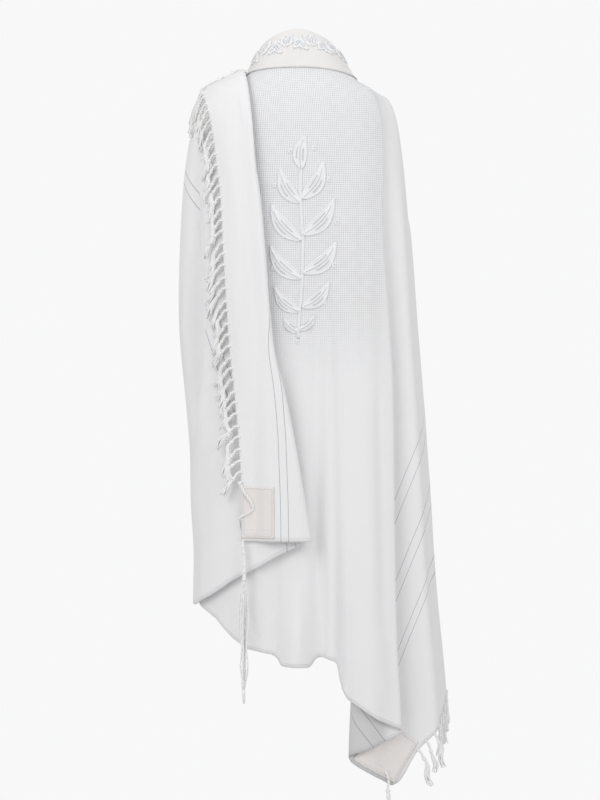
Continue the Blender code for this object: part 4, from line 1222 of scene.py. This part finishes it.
# Fringe
# Knotted tassels along both fringed edges: a twisted cord through the hem, a
# knot and a brush of wavy threads. They hang away from the edge and rest on
# the cloth below.
TASSEL_PITCH = 0.0215
CORD_REACH = 0.0165
CORD_PLY = 0.00165
KNOT_RADIUS = 0.0024
BRUSH_LENGTH = 0.050
LONG_BRUSH = 1.45
BRUSH_STRANDS = 13
BRUSH_SPREAD = 0.0054
BRUSH_STRAND = 0.00135
CLEARANCE = 0.0024
DOWN = np.array((0.0, 0.0, -1.0))

yarn_wool = Finish("white yarn", (0.93, 0.93, 0.92), 0.78, 0.35)
noise = yarn_wool.nodes.new("ShaderNodeTexNoise")
noise.inputs["Scale"].default_value = 420.0
noise.inputs["Detail"].default_value = 2.0
yarn_wool.links.new(yarn_wool.nodes.new("ShaderNodeTexCoord").outputs["Object"],
                    noise.inputs["Vector"])
twist = yarn_wool.wave(yarn_wool.attribute("length"), 0.0021)
fluff = yarn_wool.times_plus(noise.outputs["Fac"], 0.8, yarn_wool.times(twist, 0.5))
yarn_wool.put(yarn_wool.mix(fluff, (0.86, 0.86, 0.85), (0.96, 0.96, 0.95)),
              yarn_wool.shader["Base Color"])
yarn_wool.bump(fluff, 0.0003, 0.35)


def unit(vector):
    return vector / max(np.linalg.norm(vector), 1e-9)


def keep_out(path, tree, clearance):
    """Move the places of a path out of a cloth."""
    if tree is None:
        return path
    moved = []
    for place in path:
        near, normal, _, _ = tree.find_nearest(Vector(place))
        normal = np.array(normal)
        if normal[0] * place[0] + normal[1] * place[1] < 0:
            normal = -normal
        short = clearance - float(np.dot(place - np.array(near), normal))
        moved.append(place + normal * max(short, 0.0))
    return np.array(moved)


def plied(yarn, path, plies, radius, offset, pitch):
    """Plies twisted round each other along a path."""
    first, second = frames(path)
    lengths = arc(path, 0)
    for ply in range(plies):
        turn = (math.tau * (lengths / pitch + ply / plies))[:, None]
        around = first * np.cos(turn) + second * np.sin(turn)
        tube(yarn, path + around * offset, radius, 5)


def wrapped(yarn, centre, along, radius, thickness, turns, rise):
    """Thread wound round a cord, as a knot."""
    across = unit(np.cross(along, (0.2, 0.4, 0.9)))
    other = np.cross(along, across)
    angle = np.linspace(0, math.tau * turns, int(turns * 9))[:, None]
    climb = (angle / (math.tau * turns) - 0.5) * rise
    path = centre + (across * np.cos(angle) + other * np.sin(angle)) * radius + along * climb
    tube(yarn, path, thickness, 5)


def brush(yarn, axis, strands, spread, radius, chance, tree):
    """Wavy threads that start together and open along an axis."""
    first, second = frames(axis)
    share = np.linspace(0.0, 1.0, len(axis))
    for strand in range(strands):
        angle = math.tau * (strand + chance.uniform(-0.3, 0.3)) / strands
        reach = spread * chance.uniform(0.45, 1.0)
        opened = 0.0011 + (reach - 0.0011) * np.sin(share * math.pi * 0.62)
        wobble = 0.0014 * np.sin(share * chance.uniform(6.0, 11.0) + chance.uniform(0, 6.0)) * share
        path = (axis + first * (opened * math.cos(angle) + wobble)[:, None]
                + second * (opened * math.sin(angle) * 0.6 - wobble * 0.5)[:, None])
        end = max(int(len(axis) * chance.uniform(0.80, 1.0)), 4)
        path = keep_out(path[:end], tree, CLEARANCE * 0.6)
        thin = radius * (1.0 - 0.45 * smooth((np.linspace(0, 1, end) - 0.75) / 0.25))
        tube(yarn, path, thin, 4)


def tassel(yarn, root, away, tangent, side, hang, length, chance, tree):
    """One knotted tassel of the fringe."""
    leaving = unit(away * 0.8 + DOWN * 0.45 + tangent * chance.uniform(-0.15, 0.15))
    fall = unit(DOWN + away * (hang + chance.uniform(-0.16, 0.16))
                + tangent * chance.uniform(-0.20, 0.20))
    reach = CORD_REACH * chance.uniform(0.85, 1.15)
    knot = root + leaving * reach + DOWN * 0.002
    cord = spline([root - away * 0.0035 + side * 0.0014, root + away * 0.003 + side * 0.0006,
                   knot], 15)
    plied(yarn, keep_out(cord, tree, CLEARANCE), 2, CORD_PLY, 0.00145, 0.0105)
    knot = keep_out(knot[None], tree, CLEARANCE + 0.0014)[0]
    along = unit(leaving + fall)
    wrapped(yarn, knot, along, KNOT_RADIUS, 0.00165, 2.3, 0.0034)
    wrapped(yarn, knot + along * 0.0014, unit(along + side * 0.9), 0.0023, 0.0015, 1.2, 0.0010)
    length = length * chance.uniform(0.85, 1.15)
    bend = tangent * chance.uniform(-0.009, 0.009) + away * chance.uniform(-0.007, 0.005)
    axis = spline([knot, knot + unit(leaving * 1.3 + fall) * length * 0.20,
                   knot + fall * length * 0.58 + bend,
                   knot + fall * length + bend * 0.2], 14)
    brush(yarn, keep_out(axis, tree, CLEARANCE), BRUSH_STRANDS, BRUSH_SPREAD, BRUSH_STRAND,
          chance, tree)


def along_edge(edge, lengths, at):
    """Place on an edge at a length along it."""
    return np.array([np.interp(at, lengths, edge[:, axis]) for axis in range(3)])


def fringe(name, node, edge, inner, hang, tree, seed, long_until=0.0):
    """Tassels along a cloth edge. The first stretch may have longer ones."""
    lengths = arc(edge, 0)
    chance = random.Random(seed)
    yarn = Yarn([], [], [])
    for place in np.arange(TASSEL_PITCH / 2, lengths[-1], TASSEL_PITCH):
        place = place + chance.uniform(-0.0025, 0.0025)
        root, behind, ahead = (along_edge(edge, lengths, place + step)
                               for step in (0, -0.004, 0.004))
        tangent = unit(ahead - behind)
        away = root - along_edge(inner, lengths, place)
        away = unit(away - tangent * np.dot(away, tangent))
        side = unit(np.cross(tangent, away))
        if side[0] * root[0] + side[1] * root[1] < 0:
            side = -side
        length = BRUSH_LENGTH * (LONG_BRUSH if place < long_until else 1.0)
        tassel(yarn, root, away, tangent, side, hang, length, chance, tree)
    yarn_piece(name, yarn, yarn_wool, node)


FRINGE_CREST_ROW = FLAP_TAIL_ROWS + FLAP_CREST_ROWS + 3
FRINGE_END_Z = -0.7875
wing_tree = tree_of(wing_points)
flap_edge, flap_within = flap_points[:, -1], flap_points[:, -3]
last_row = FRINGE_CREST_ROW + int(np.argmin(np.abs(flap_edge[FRINGE_CREST_ROW:, 2]
                                                   - FRINGE_END_Z)))
fringe("fringe_back_yarn", "fringe_back", flap_edge[FRINGE_CREST_ROW:last_row],
       flap_within[FRINGE_CREST_ROW:last_row], 0.42, wing_tree, 7, 0.075)
fringe("fringe_front_yarn", "fringe_front", flap_edge[:FRINGE_CREST_ROW][::-1],
       flap_within[:FRINGE_CREST_ROW][::-1], 0.50, wing_tree, 11)
# Two longer cords have slipped over the crest, with their ends at the neckband.
crest = Yarn([], [], [])
for behind_crest, last_column, seed in ((1.0, 5.0, 31), (3.2, 13.0, 32)):
    chance = random.Random(seed)
    shares = np.linspace(0.0, 1.0, 22)
    rows = (FLAP_TAIL_ROWS + FLAP_CREST_ROWS + behind_crest
            + 0.7 * np.sin(shares * 7.0 + chance.uniform(0.0, 3.0)))
    column = flap_points.shape[1] - 1.2
    path = on_sheet(flap_points, rows, column + (last_column - column) * shares,
                    0.0030 + 0.0006 * np.sin(shares * 16.0), np.array((0.0, -0.2, 1.0)))
    plied(crest, path, 2, 0.0017, 0.0015, 0.0115)
    for share in (0.06, 0.42, 0.72):
        spot = int(share * (len(path) - 1))
        wrapped(crest, path[spot], unit(path[spot + 1] - path[spot]), 0.0026, 0.0016, 2.2, 0.0036)
    end = path[-1]
    fall = unit(end - path[-4]) + np.array((0.0, -0.25, -0.55))
    axis = spline([end, end + fall * 0.006, end + fall * 0.014 + (0.0, -0.002, -0.005)], 8)
    brush(crest, axis, 9, 0.0040, 0.0012, chance, None)
yarn_piece("crest_cords", crest, yarn_wool)
right_columns = np.flatnonzero(kinds == "right")
fringe_start = right_columns[int(np.argmin(np.abs(keys[right_columns] - 0.08)))]
fringe("fringe_right_yarn", "fringe_right", panel_points[-1, fringe_start:],
       panel_points[-4, fringe_start:], 0.30, None, 5)

# Long corner tassels
# Cords tied through each patch's eyelet, wound and knotted into a head, with
# eight long threads that hang free.
HEAD_LENGTH = 0.066
STRAND_LENGTH = 0.205
STRANDS = 8
LONGER_STRANDS = (2, 5)
HEAD_WINDINGS = (0.03, 0.20, 0.38, 0.56, 0.75, 0.97)
EYELET_RADIUS = 0.0026
LongTassel = namedtuple("LongTassel",
                        "name patch hole_side hole_up rim outside below round_edge")
LONG_TASSELS = (
    LongTassel("tassel_flap", "patch_flap", 0.39, 0.57, 0.04, 0.0050, 0.013, 0.42),
    LongTassel("tassel_flap_front", "patch_flap_front", 0.34, 0.45, 0.02, 0.0060, 0.016, 0.36),
    LongTassel("tassel_right_wing", "patch_right_wing", 0.28, 0.12, 0.17, 0.0060, 0.019, 0.0),
    LongTassel("tassel_right_front", "patch_right_front", 0.34, 0.34, 0.02, 0.0060, 0.024, 0.0),
)


def on_patch(sewn, side, up, out):
    """Place over a patch by shares of its sides."""
    return on_sheet(sewn.grid, np.array([up * PATCH_CELLS]), np.array([side * PATCH_CELLS]),
                    out, sewn.facing)[0]


def tie_round_edge(yarn, tied, sewn, hole, top):
    """Cord to the hole from a knot above, and one from the hole round the edge."""
    left = on_patch(sewn, 0.0, tied.round_edge, 0.0022)
    turned = left + np.array((-0.0042, 0.0, -0.004)) - sewn.facing * 0.0045
    loop = spline([hole, on_patch(sewn, tied.hole_side * 0.5, tied.round_edge + 0.07, 0.0030),
                   left, turned, turned + np.array((0.002, 0.0, -0.016)) - sewn.facing * 0.004,
                   top - DOWN * 0.008 - sewn.facing * 0.006, top], 40)
    plied(yarn, loop, 2, 0.0013, 0.0011, 0.010)
    knot = on_patch(sewn, 0.0, 1.0, 0.0030) + np.array((-0.002, 0.0, 0.007))
    above = spline([hole, on_patch(sewn, tied.hole_side * 0.55, tied.hole_up + 0.20, 0.0034),
                    on_patch(sewn, tied.hole_side * 0.2, 0.90, 0.0032), knot], 22)
    plied(yarn, above, 2, 0.0020, 0.0018, 0.014)
    wrapped(yarn, knot, unit(above[-1] - above[-4]), 0.0030, 0.0018, 2.2, 0.004)


def tie_over_rim(yarn, tied, sewn, hole, top):
    """Cord from the hole down over the patch's lower rim."""
    between = on_patch(sewn, tied.hole_side * 0.6 + tied.rim * 0.4, tied.hole_up * 0.55, 0.0032)
    loop = spline([hole, on_patch(sewn, tied.hole_side, tied.hole_up - 0.03, 0.0028), between,
                   on_patch(sewn, tied.rim, 0.0, 0.0028), top], 34)
    plied(yarn, loop, 2, 0.0015, 0.0013, 0.010)


for number, tied in enumerate(LONG_TASSELS):
    chance = random.Random(20 + number)
    sewn = sewn_patches[tied.patch]
    yarn = Yarn([], [], [])
    hole = on_patch(sewn, tied.hole_side, tied.hole_up, 0.0004)
    top = (on_patch(sewn, tied.rim, 0.0, 0.0) + sewn.facing * tied.outside + DOWN * tied.below)
    if tied.round_edge:
        tie_round_edge(yarn, tied, sewn, hole, top)
    else:
        tie_over_rim(yarn, tied, sewn, hole, top)
    eyelet = [on_patch(sewn, tied.hole_side + math.cos(turn) * EYELET_RADIUS / 0.062,
                       tied.hole_up + math.sin(turn) * EYELET_RADIUS / 0.097, 0.0007)
              for turn in np.linspace(0, math.tau, 19)]
    tube(yarn, np.array(eyelet), 0.0007, 5)
    foot = top + DOWN * HEAD_LENGTH
    lean = np.array((chance.uniform(-0.003, 0.003), 0.0, 0.0))
    head = spline([top, (top + foot) / 2 + lean, foot + lean], 44)
    plied(yarn, head, 3, 0.0021, 0.0020, 0.0140)
    for share in HEAD_WINDINGS:
        centre = head[int(share * (len(head) - 1))]
        wrapped(yarn, centre, DOWN, 0.0036, 0.0015, 1.6, 0.0026)
    foot = head[-1]
    for strand in range(STRANDS):
        turn = math.tau * strand / STRANDS
        out = np.array((math.cos(turn), math.sin(turn) * 0.55, 0.0))
        length = STRAND_LENGTH * (1.13 if strand in LONGER_STRANDS else chance.uniform(0.88, 1.0))
        drift = np.array((chance.uniform(-0.0035, 0.0035), 0.0, 0.0))
        path = spline([foot + out * opened + DOWN * length * share + drift * swing
                       for opened, share, swing in (
                           (0.0016, 0.0, 0.0), (0.0055, 0.10, 0.0), (0.0072, 0.40, 1.0),
                           (0.0036, 0.66, 0.5), (0.0048, 0.84, 1.0), (0.0012, 0.99, 0.3))], 30)
        plied(yarn, path, 2, 0.00095, 0.00085, 0.0095)
    yarn_piece("yarn_" + tied.name, yarn, yarn_wool, tied.name)

# Leaf sprig on the back
# An upright sprig of paired leaves and buds, sewn in thick white silk over the
# open weave. Each leaf is rows of thread laid side by side within an outline.
Leaf = namedtuple("Leaf", "name x z tip_x tip_z bend width lines")
SPRIG = (
    Leaf("crown", 0.006, -0.205, 0.014, -0.142, 0.006, 0.024, 13),
    Leaf("upper right", 0.008, -0.262, 0.048, -0.192, -0.009, 0.026, 13),
    Leaf("upper left", 0.004, -0.270, -0.034, -0.205, 0.009, 0.025, 13),
    Leaf("second right", 0.010, -0.330, 0.068, -0.262, -0.010, 0.027, 14),
    Leaf("second left", 0.006, -0.340, -0.050, -0.272, 0.010, 0.027, 14),
    Leaf("third right", 0.010, -0.402, 0.072, -0.342, -0.012, 0.027, 14),
    Leaf("third left", 0.006, -0.412, -0.052, -0.350, 0.011, 0.026, 14),
    Leaf("fourth right", 0.008, -0.466, 0.058, -0.418, -0.010, 0.022, 12),
    Leaf("fourth left", 0.004, -0.474, -0.044, -0.428, 0.009, 0.021, 12),
    Leaf("low right", 0.003, -0.508, 0.030, -0.482, -0.005, 0.012, 7),
    Leaf("low left", 0.001, -0.512, -0.026, -0.488, 0.005, 0.012, 7),
)
Bud = namedtuple("Bud", "name x z size")
BUDS = (
    Bud("top right", 0.031, -0.166, 0.0034),
    Bud("top left", -0.014, -0.172, 0.0032),
    Bud("right one", 0.058, -0.226, 0.0034),
    Bud("left one", -0.044, -0.236, 0.0032),
    Bud("right two", 0.073, -0.306, 0.0036),
    Bud("right three", 0.068, -0.386, 0.0034),
    Bud("left three", -0.046, -0.392, 0.0032),
    Bud("right four", 0.050, -0.456, 0.0030),
    Bud("foot", 0.000, -0.530, 0.0030),
)
STEM = ((0.000, -0.524), (0.003, -0.480), (0.008, -0.410), (0.009, -0.330), (0.005, -0.262),
        (0.006, -0.200))
LEAF_POINTS = 21

silver = Finish("silver thread", (0.62, 0.63, 0.66), 0.32, 0.2)


def leaf_curves(base, tip, bend, width, lines):
    """Curves of a leaf in flat coordinates, from one margin to the other."""
    base, tip = np.array(base), np.array(tip)
    share = np.linspace(0.0, 1.0, LEAF_POINTS)
    along = tip - base
    side = np.array((-along[1], along[0])) / np.linalg.norm(along)
    centre = base + along * share[:, None] + side * (bend * np.sin(math.pi * share))[:, None]
    half = width / 2 * np.sin(math.pi * share ** 0.80) ** 0.9
    return [centre + side * (half * place)[:, None] for place in np.linspace(-1.0, 1.0, lines)]


def sew_leaf(yarn, curves, placed, thick):
    """Threads of a leaf, the outline thicker than the rows inside it."""
    last = len(curves) - 1
    for index, curve in enumerate(curves):
        on_outline = index in (0, last)
        crown = 0.0014 * math.sin(math.pi * index / last)
        path = placed(curve, crown + (0.0012 if on_outline else 0.0006))
        tube(yarn, path, thick * 1.2 if on_outline else thick, 5)


def sew_ring(yarn, x, z, radius, tall, points, placed, out, thick):
    """Thread laid in a ring, as an eye or a bud."""
    turn = np.linspace(0, math.tau, points)
    circle = np.stack([x + np.cos(turn) * radius, z + np.sin(turn) * radius * tall], axis=-1)
    tube(yarn, placed(circle, out), thick, 5)


panel_tree = tree_of(panel_points[:, LEFT_COLUMNS:LEFT_COLUMNS + BACK_COLUMNS])


def on_back(curve, out):
    """Places of a flat curve on the back, seen from behind."""
    return np.array([cast_y(panel_tree, x, z, -1, CLOTH_WALL / 2 + out) for x, z in curve])


yarn, veins = Yarn([], [], []), Yarn([], [], [])
for leaf in SPRIG:
    curves = leaf_curves((leaf.x, leaf.z), (leaf.tip_x, leaf.tip_z), leaf.bend, leaf.width,
                         leaf.lines)
    sew_leaf(yarn, curves, on_back, 0.0014)
    # A silver vein down the middle with a short one on each side.
    for column, first, last in ((0, 1, -3), (-3, 5, 13), (3, 6, 14)):
        vein = curves[len(curves) // 2 + column][first:last]
        tube(veins, on_back(vein, 0.0031), 0.0007, 4)
stem = spline([(x, 0.0, z) for x, z in STEM], 60)
for offset in (-0.0016, 0.0, 0.0016):
    tube(yarn, on_back(stem[:, (0, 2)] + (offset, 0.0), 0.0010), 0.0012, 5)
for bud in BUDS:
    sew_ring(yarn, bud.x, bud.z, bud.size, 1.3, 17, on_back, 0.0008, 0.0012)
    sew_ring(yarn, bud.x, bud.z, bud.size * 0.5, 1.3, 17, on_back, 0.0012, 0.0012)
yarn_piece("leaf_sprig", yarn, silk)
yarn_piece("leaf_veins", veins, silver)

# Leaf border on the neckband
# A waving stem with leaves on both sides, sewn round the band in the same silk.
BORDER_PERIOD = 0.050
BORDER_DOWN = 0.033
BORDER_SWING = 0.0070
BORDER_LEAF = 0.026
OUTER_ROW = BAND_ROWS - 8

outer_across = band_across[OUTER_ROW] - band_across[OUTER_ROW, band_points.shape[1] // 2]
top_row = int(np.argmin(np.abs(steps - 2.0)))


def on_band(curve, out):
    """Places of a flat curve on the band: across from its middle, down from the top."""
    column = np.interp(curve[:, 0], outer_across, np.arange(len(outer_across)))
    middle_column = int(np.clip(column.mean(), 0, len(outer_across) - 1))
    depths = band_down[:, middle_column] - band_down[top_row, middle_column]
    row = np.interp(curve[:, 1], depths[top_row:], np.arange(top_row, len(depths)))
    facing = band_points[row.astype(int), column.astype(int)] * (1.0, 1.0, 0.0)
    return on_sheet(band_points, row, column, BAND_WALL / 2 + out, facing)


yarn, veins = Yarn([], [], []), Yarn([], [], [])
border_start, border_end = outer_across[3], outer_across[-4]
run = np.arange(border_start, border_end, 0.0025)
stem = np.stack([run, BORDER_DOWN + BORDER_SWING * np.sin(run * math.tau / BORDER_PERIOD)],
                axis=-1)
tube(yarn, on_band(stem, 0.0008), 0.0013, 5)
tube(yarn, on_band(stem + (0.0, 0.0022), 0.0008), 0.0009, 5)
half = BORDER_PERIOD / 2
for number in range(int(border_start / half) + 1, int(border_end / half)):
    middle = (number + 0.5) * half
    upward = -1.0 if number % 2 == 0 else 1.0
    base = (middle, BORDER_DOWN - upward * BORDER_SWING * 0.9)
    for lean, size in ((-0.55, 0.85), (0.55, 1.0)):
        tip = (middle + BORDER_LEAF * lean * size, base[1] + upward * BORDER_LEAF * size * 0.92)
        curves = leaf_curves(base, tip, 0.0022 * math.copysign(1.0, lean) * upward, 0.0120, 7)
        sew_leaf(yarn, curves, on_band, 0.0011)
        for column in (-1, 1):
            tube(veins, on_band(curves[3 + column][3:-5], 0.0026), 0.0006, 4)
    sew_ring(yarn, middle, base[1] + upward * 0.0215, 0.0017, 1.0, 13, on_band, 0.0006, 0.0009)
yarn_piece("leaf_border", yarn, silk)
yarn_piece("border_veins", veins, silver)

# Stage
# A pale floor under the hanging tassels, a white room and soft light from
# both sides of the camera, the stronger from its left.
FLOOR_Z = -1.72
FLOOR_RADIUS = 0.80
bpy.ops.object.select_all(action="DESELECT")
bpy.ops.mesh.primitive_cylinder_add(vertices=96, radius=FLOOR_RADIUS, depth=0.02,
                                    location=(0, 0, FLOOR_Z - 0.01))
floor = bpy.context.object
floor.name = "floor"
bpy.ops.object.transform_apply(location=True, rotation=True, scale=True)
floor.data.materials.append(Finish("pale floor", (0.78, 0.78, 0.78), 0.7).material)

Lamp = namedtuple("Lamp", "name place size energy")
LAMPS = (
    Lamp("key", (-2.0, -2.8, 1.1), 2.2, 38.0),
    Lamp("fill", (2.2, -2.6, 0.6), 2.0, 22.0),
    Lamp("top", (0.0, -0.6, 2.6), 2.0, 10.0),
    Lamp("front", (0.3, 3.0, 0.2), 2.4, 16.0),
)
LAMP_TARGET = Vector((0.0, 0.0, -0.6))
for lamp in LAMPS:
    data = bpy.data.lights.new(lamp.name, "AREA")
    data.energy = lamp.energy
    data.size = lamp.size
    light = bpy.data.objects.new(lamp.name, data)
    light.location = lamp.place
    light.rotation_euler = (LAMP_TARGET - Vector(lamp.place)).to_track_quat("-Z", "Y").to_euler()
    bpy.context.scene.collection.objects.link(light)

ROOM_SEEN = 0.94
ROOM_LIGHT = 0.625
world = bpy.data.worlds.new("white room")
world.use_nodes = True
bpy.context.scene.world = world
nodes, links = world.node_tree.nodes, world.node_tree.links
background = nodes["Background"]
background.inputs["Color"].default_value = (ROOM_SEEN, ROOM_SEEN, ROOM_SEEN * 1.005, 1.0)
room = nodes.new("ShaderNodeBackground")
room.inputs["Color"].default_value = (0.99, 0.99, 1.0, 1.0)
room.inputs["Strength"].default_value = ROOM_LIGHT
path = nodes.new("ShaderNodeLightPath")
mix = nodes.new("ShaderNodeMixShader")
links.new(path.outputs["Is Camera Ray"], mix.inputs[0])
links.new(room.outputs[0], mix.inputs[1])
links.new(background.outputs[0], mix.inputs[2])
links.new(mix.outputs[0], nodes["World Output"].inputs["Surface"])
bpy.context.scene.view_settings.view_transform = "Standard"
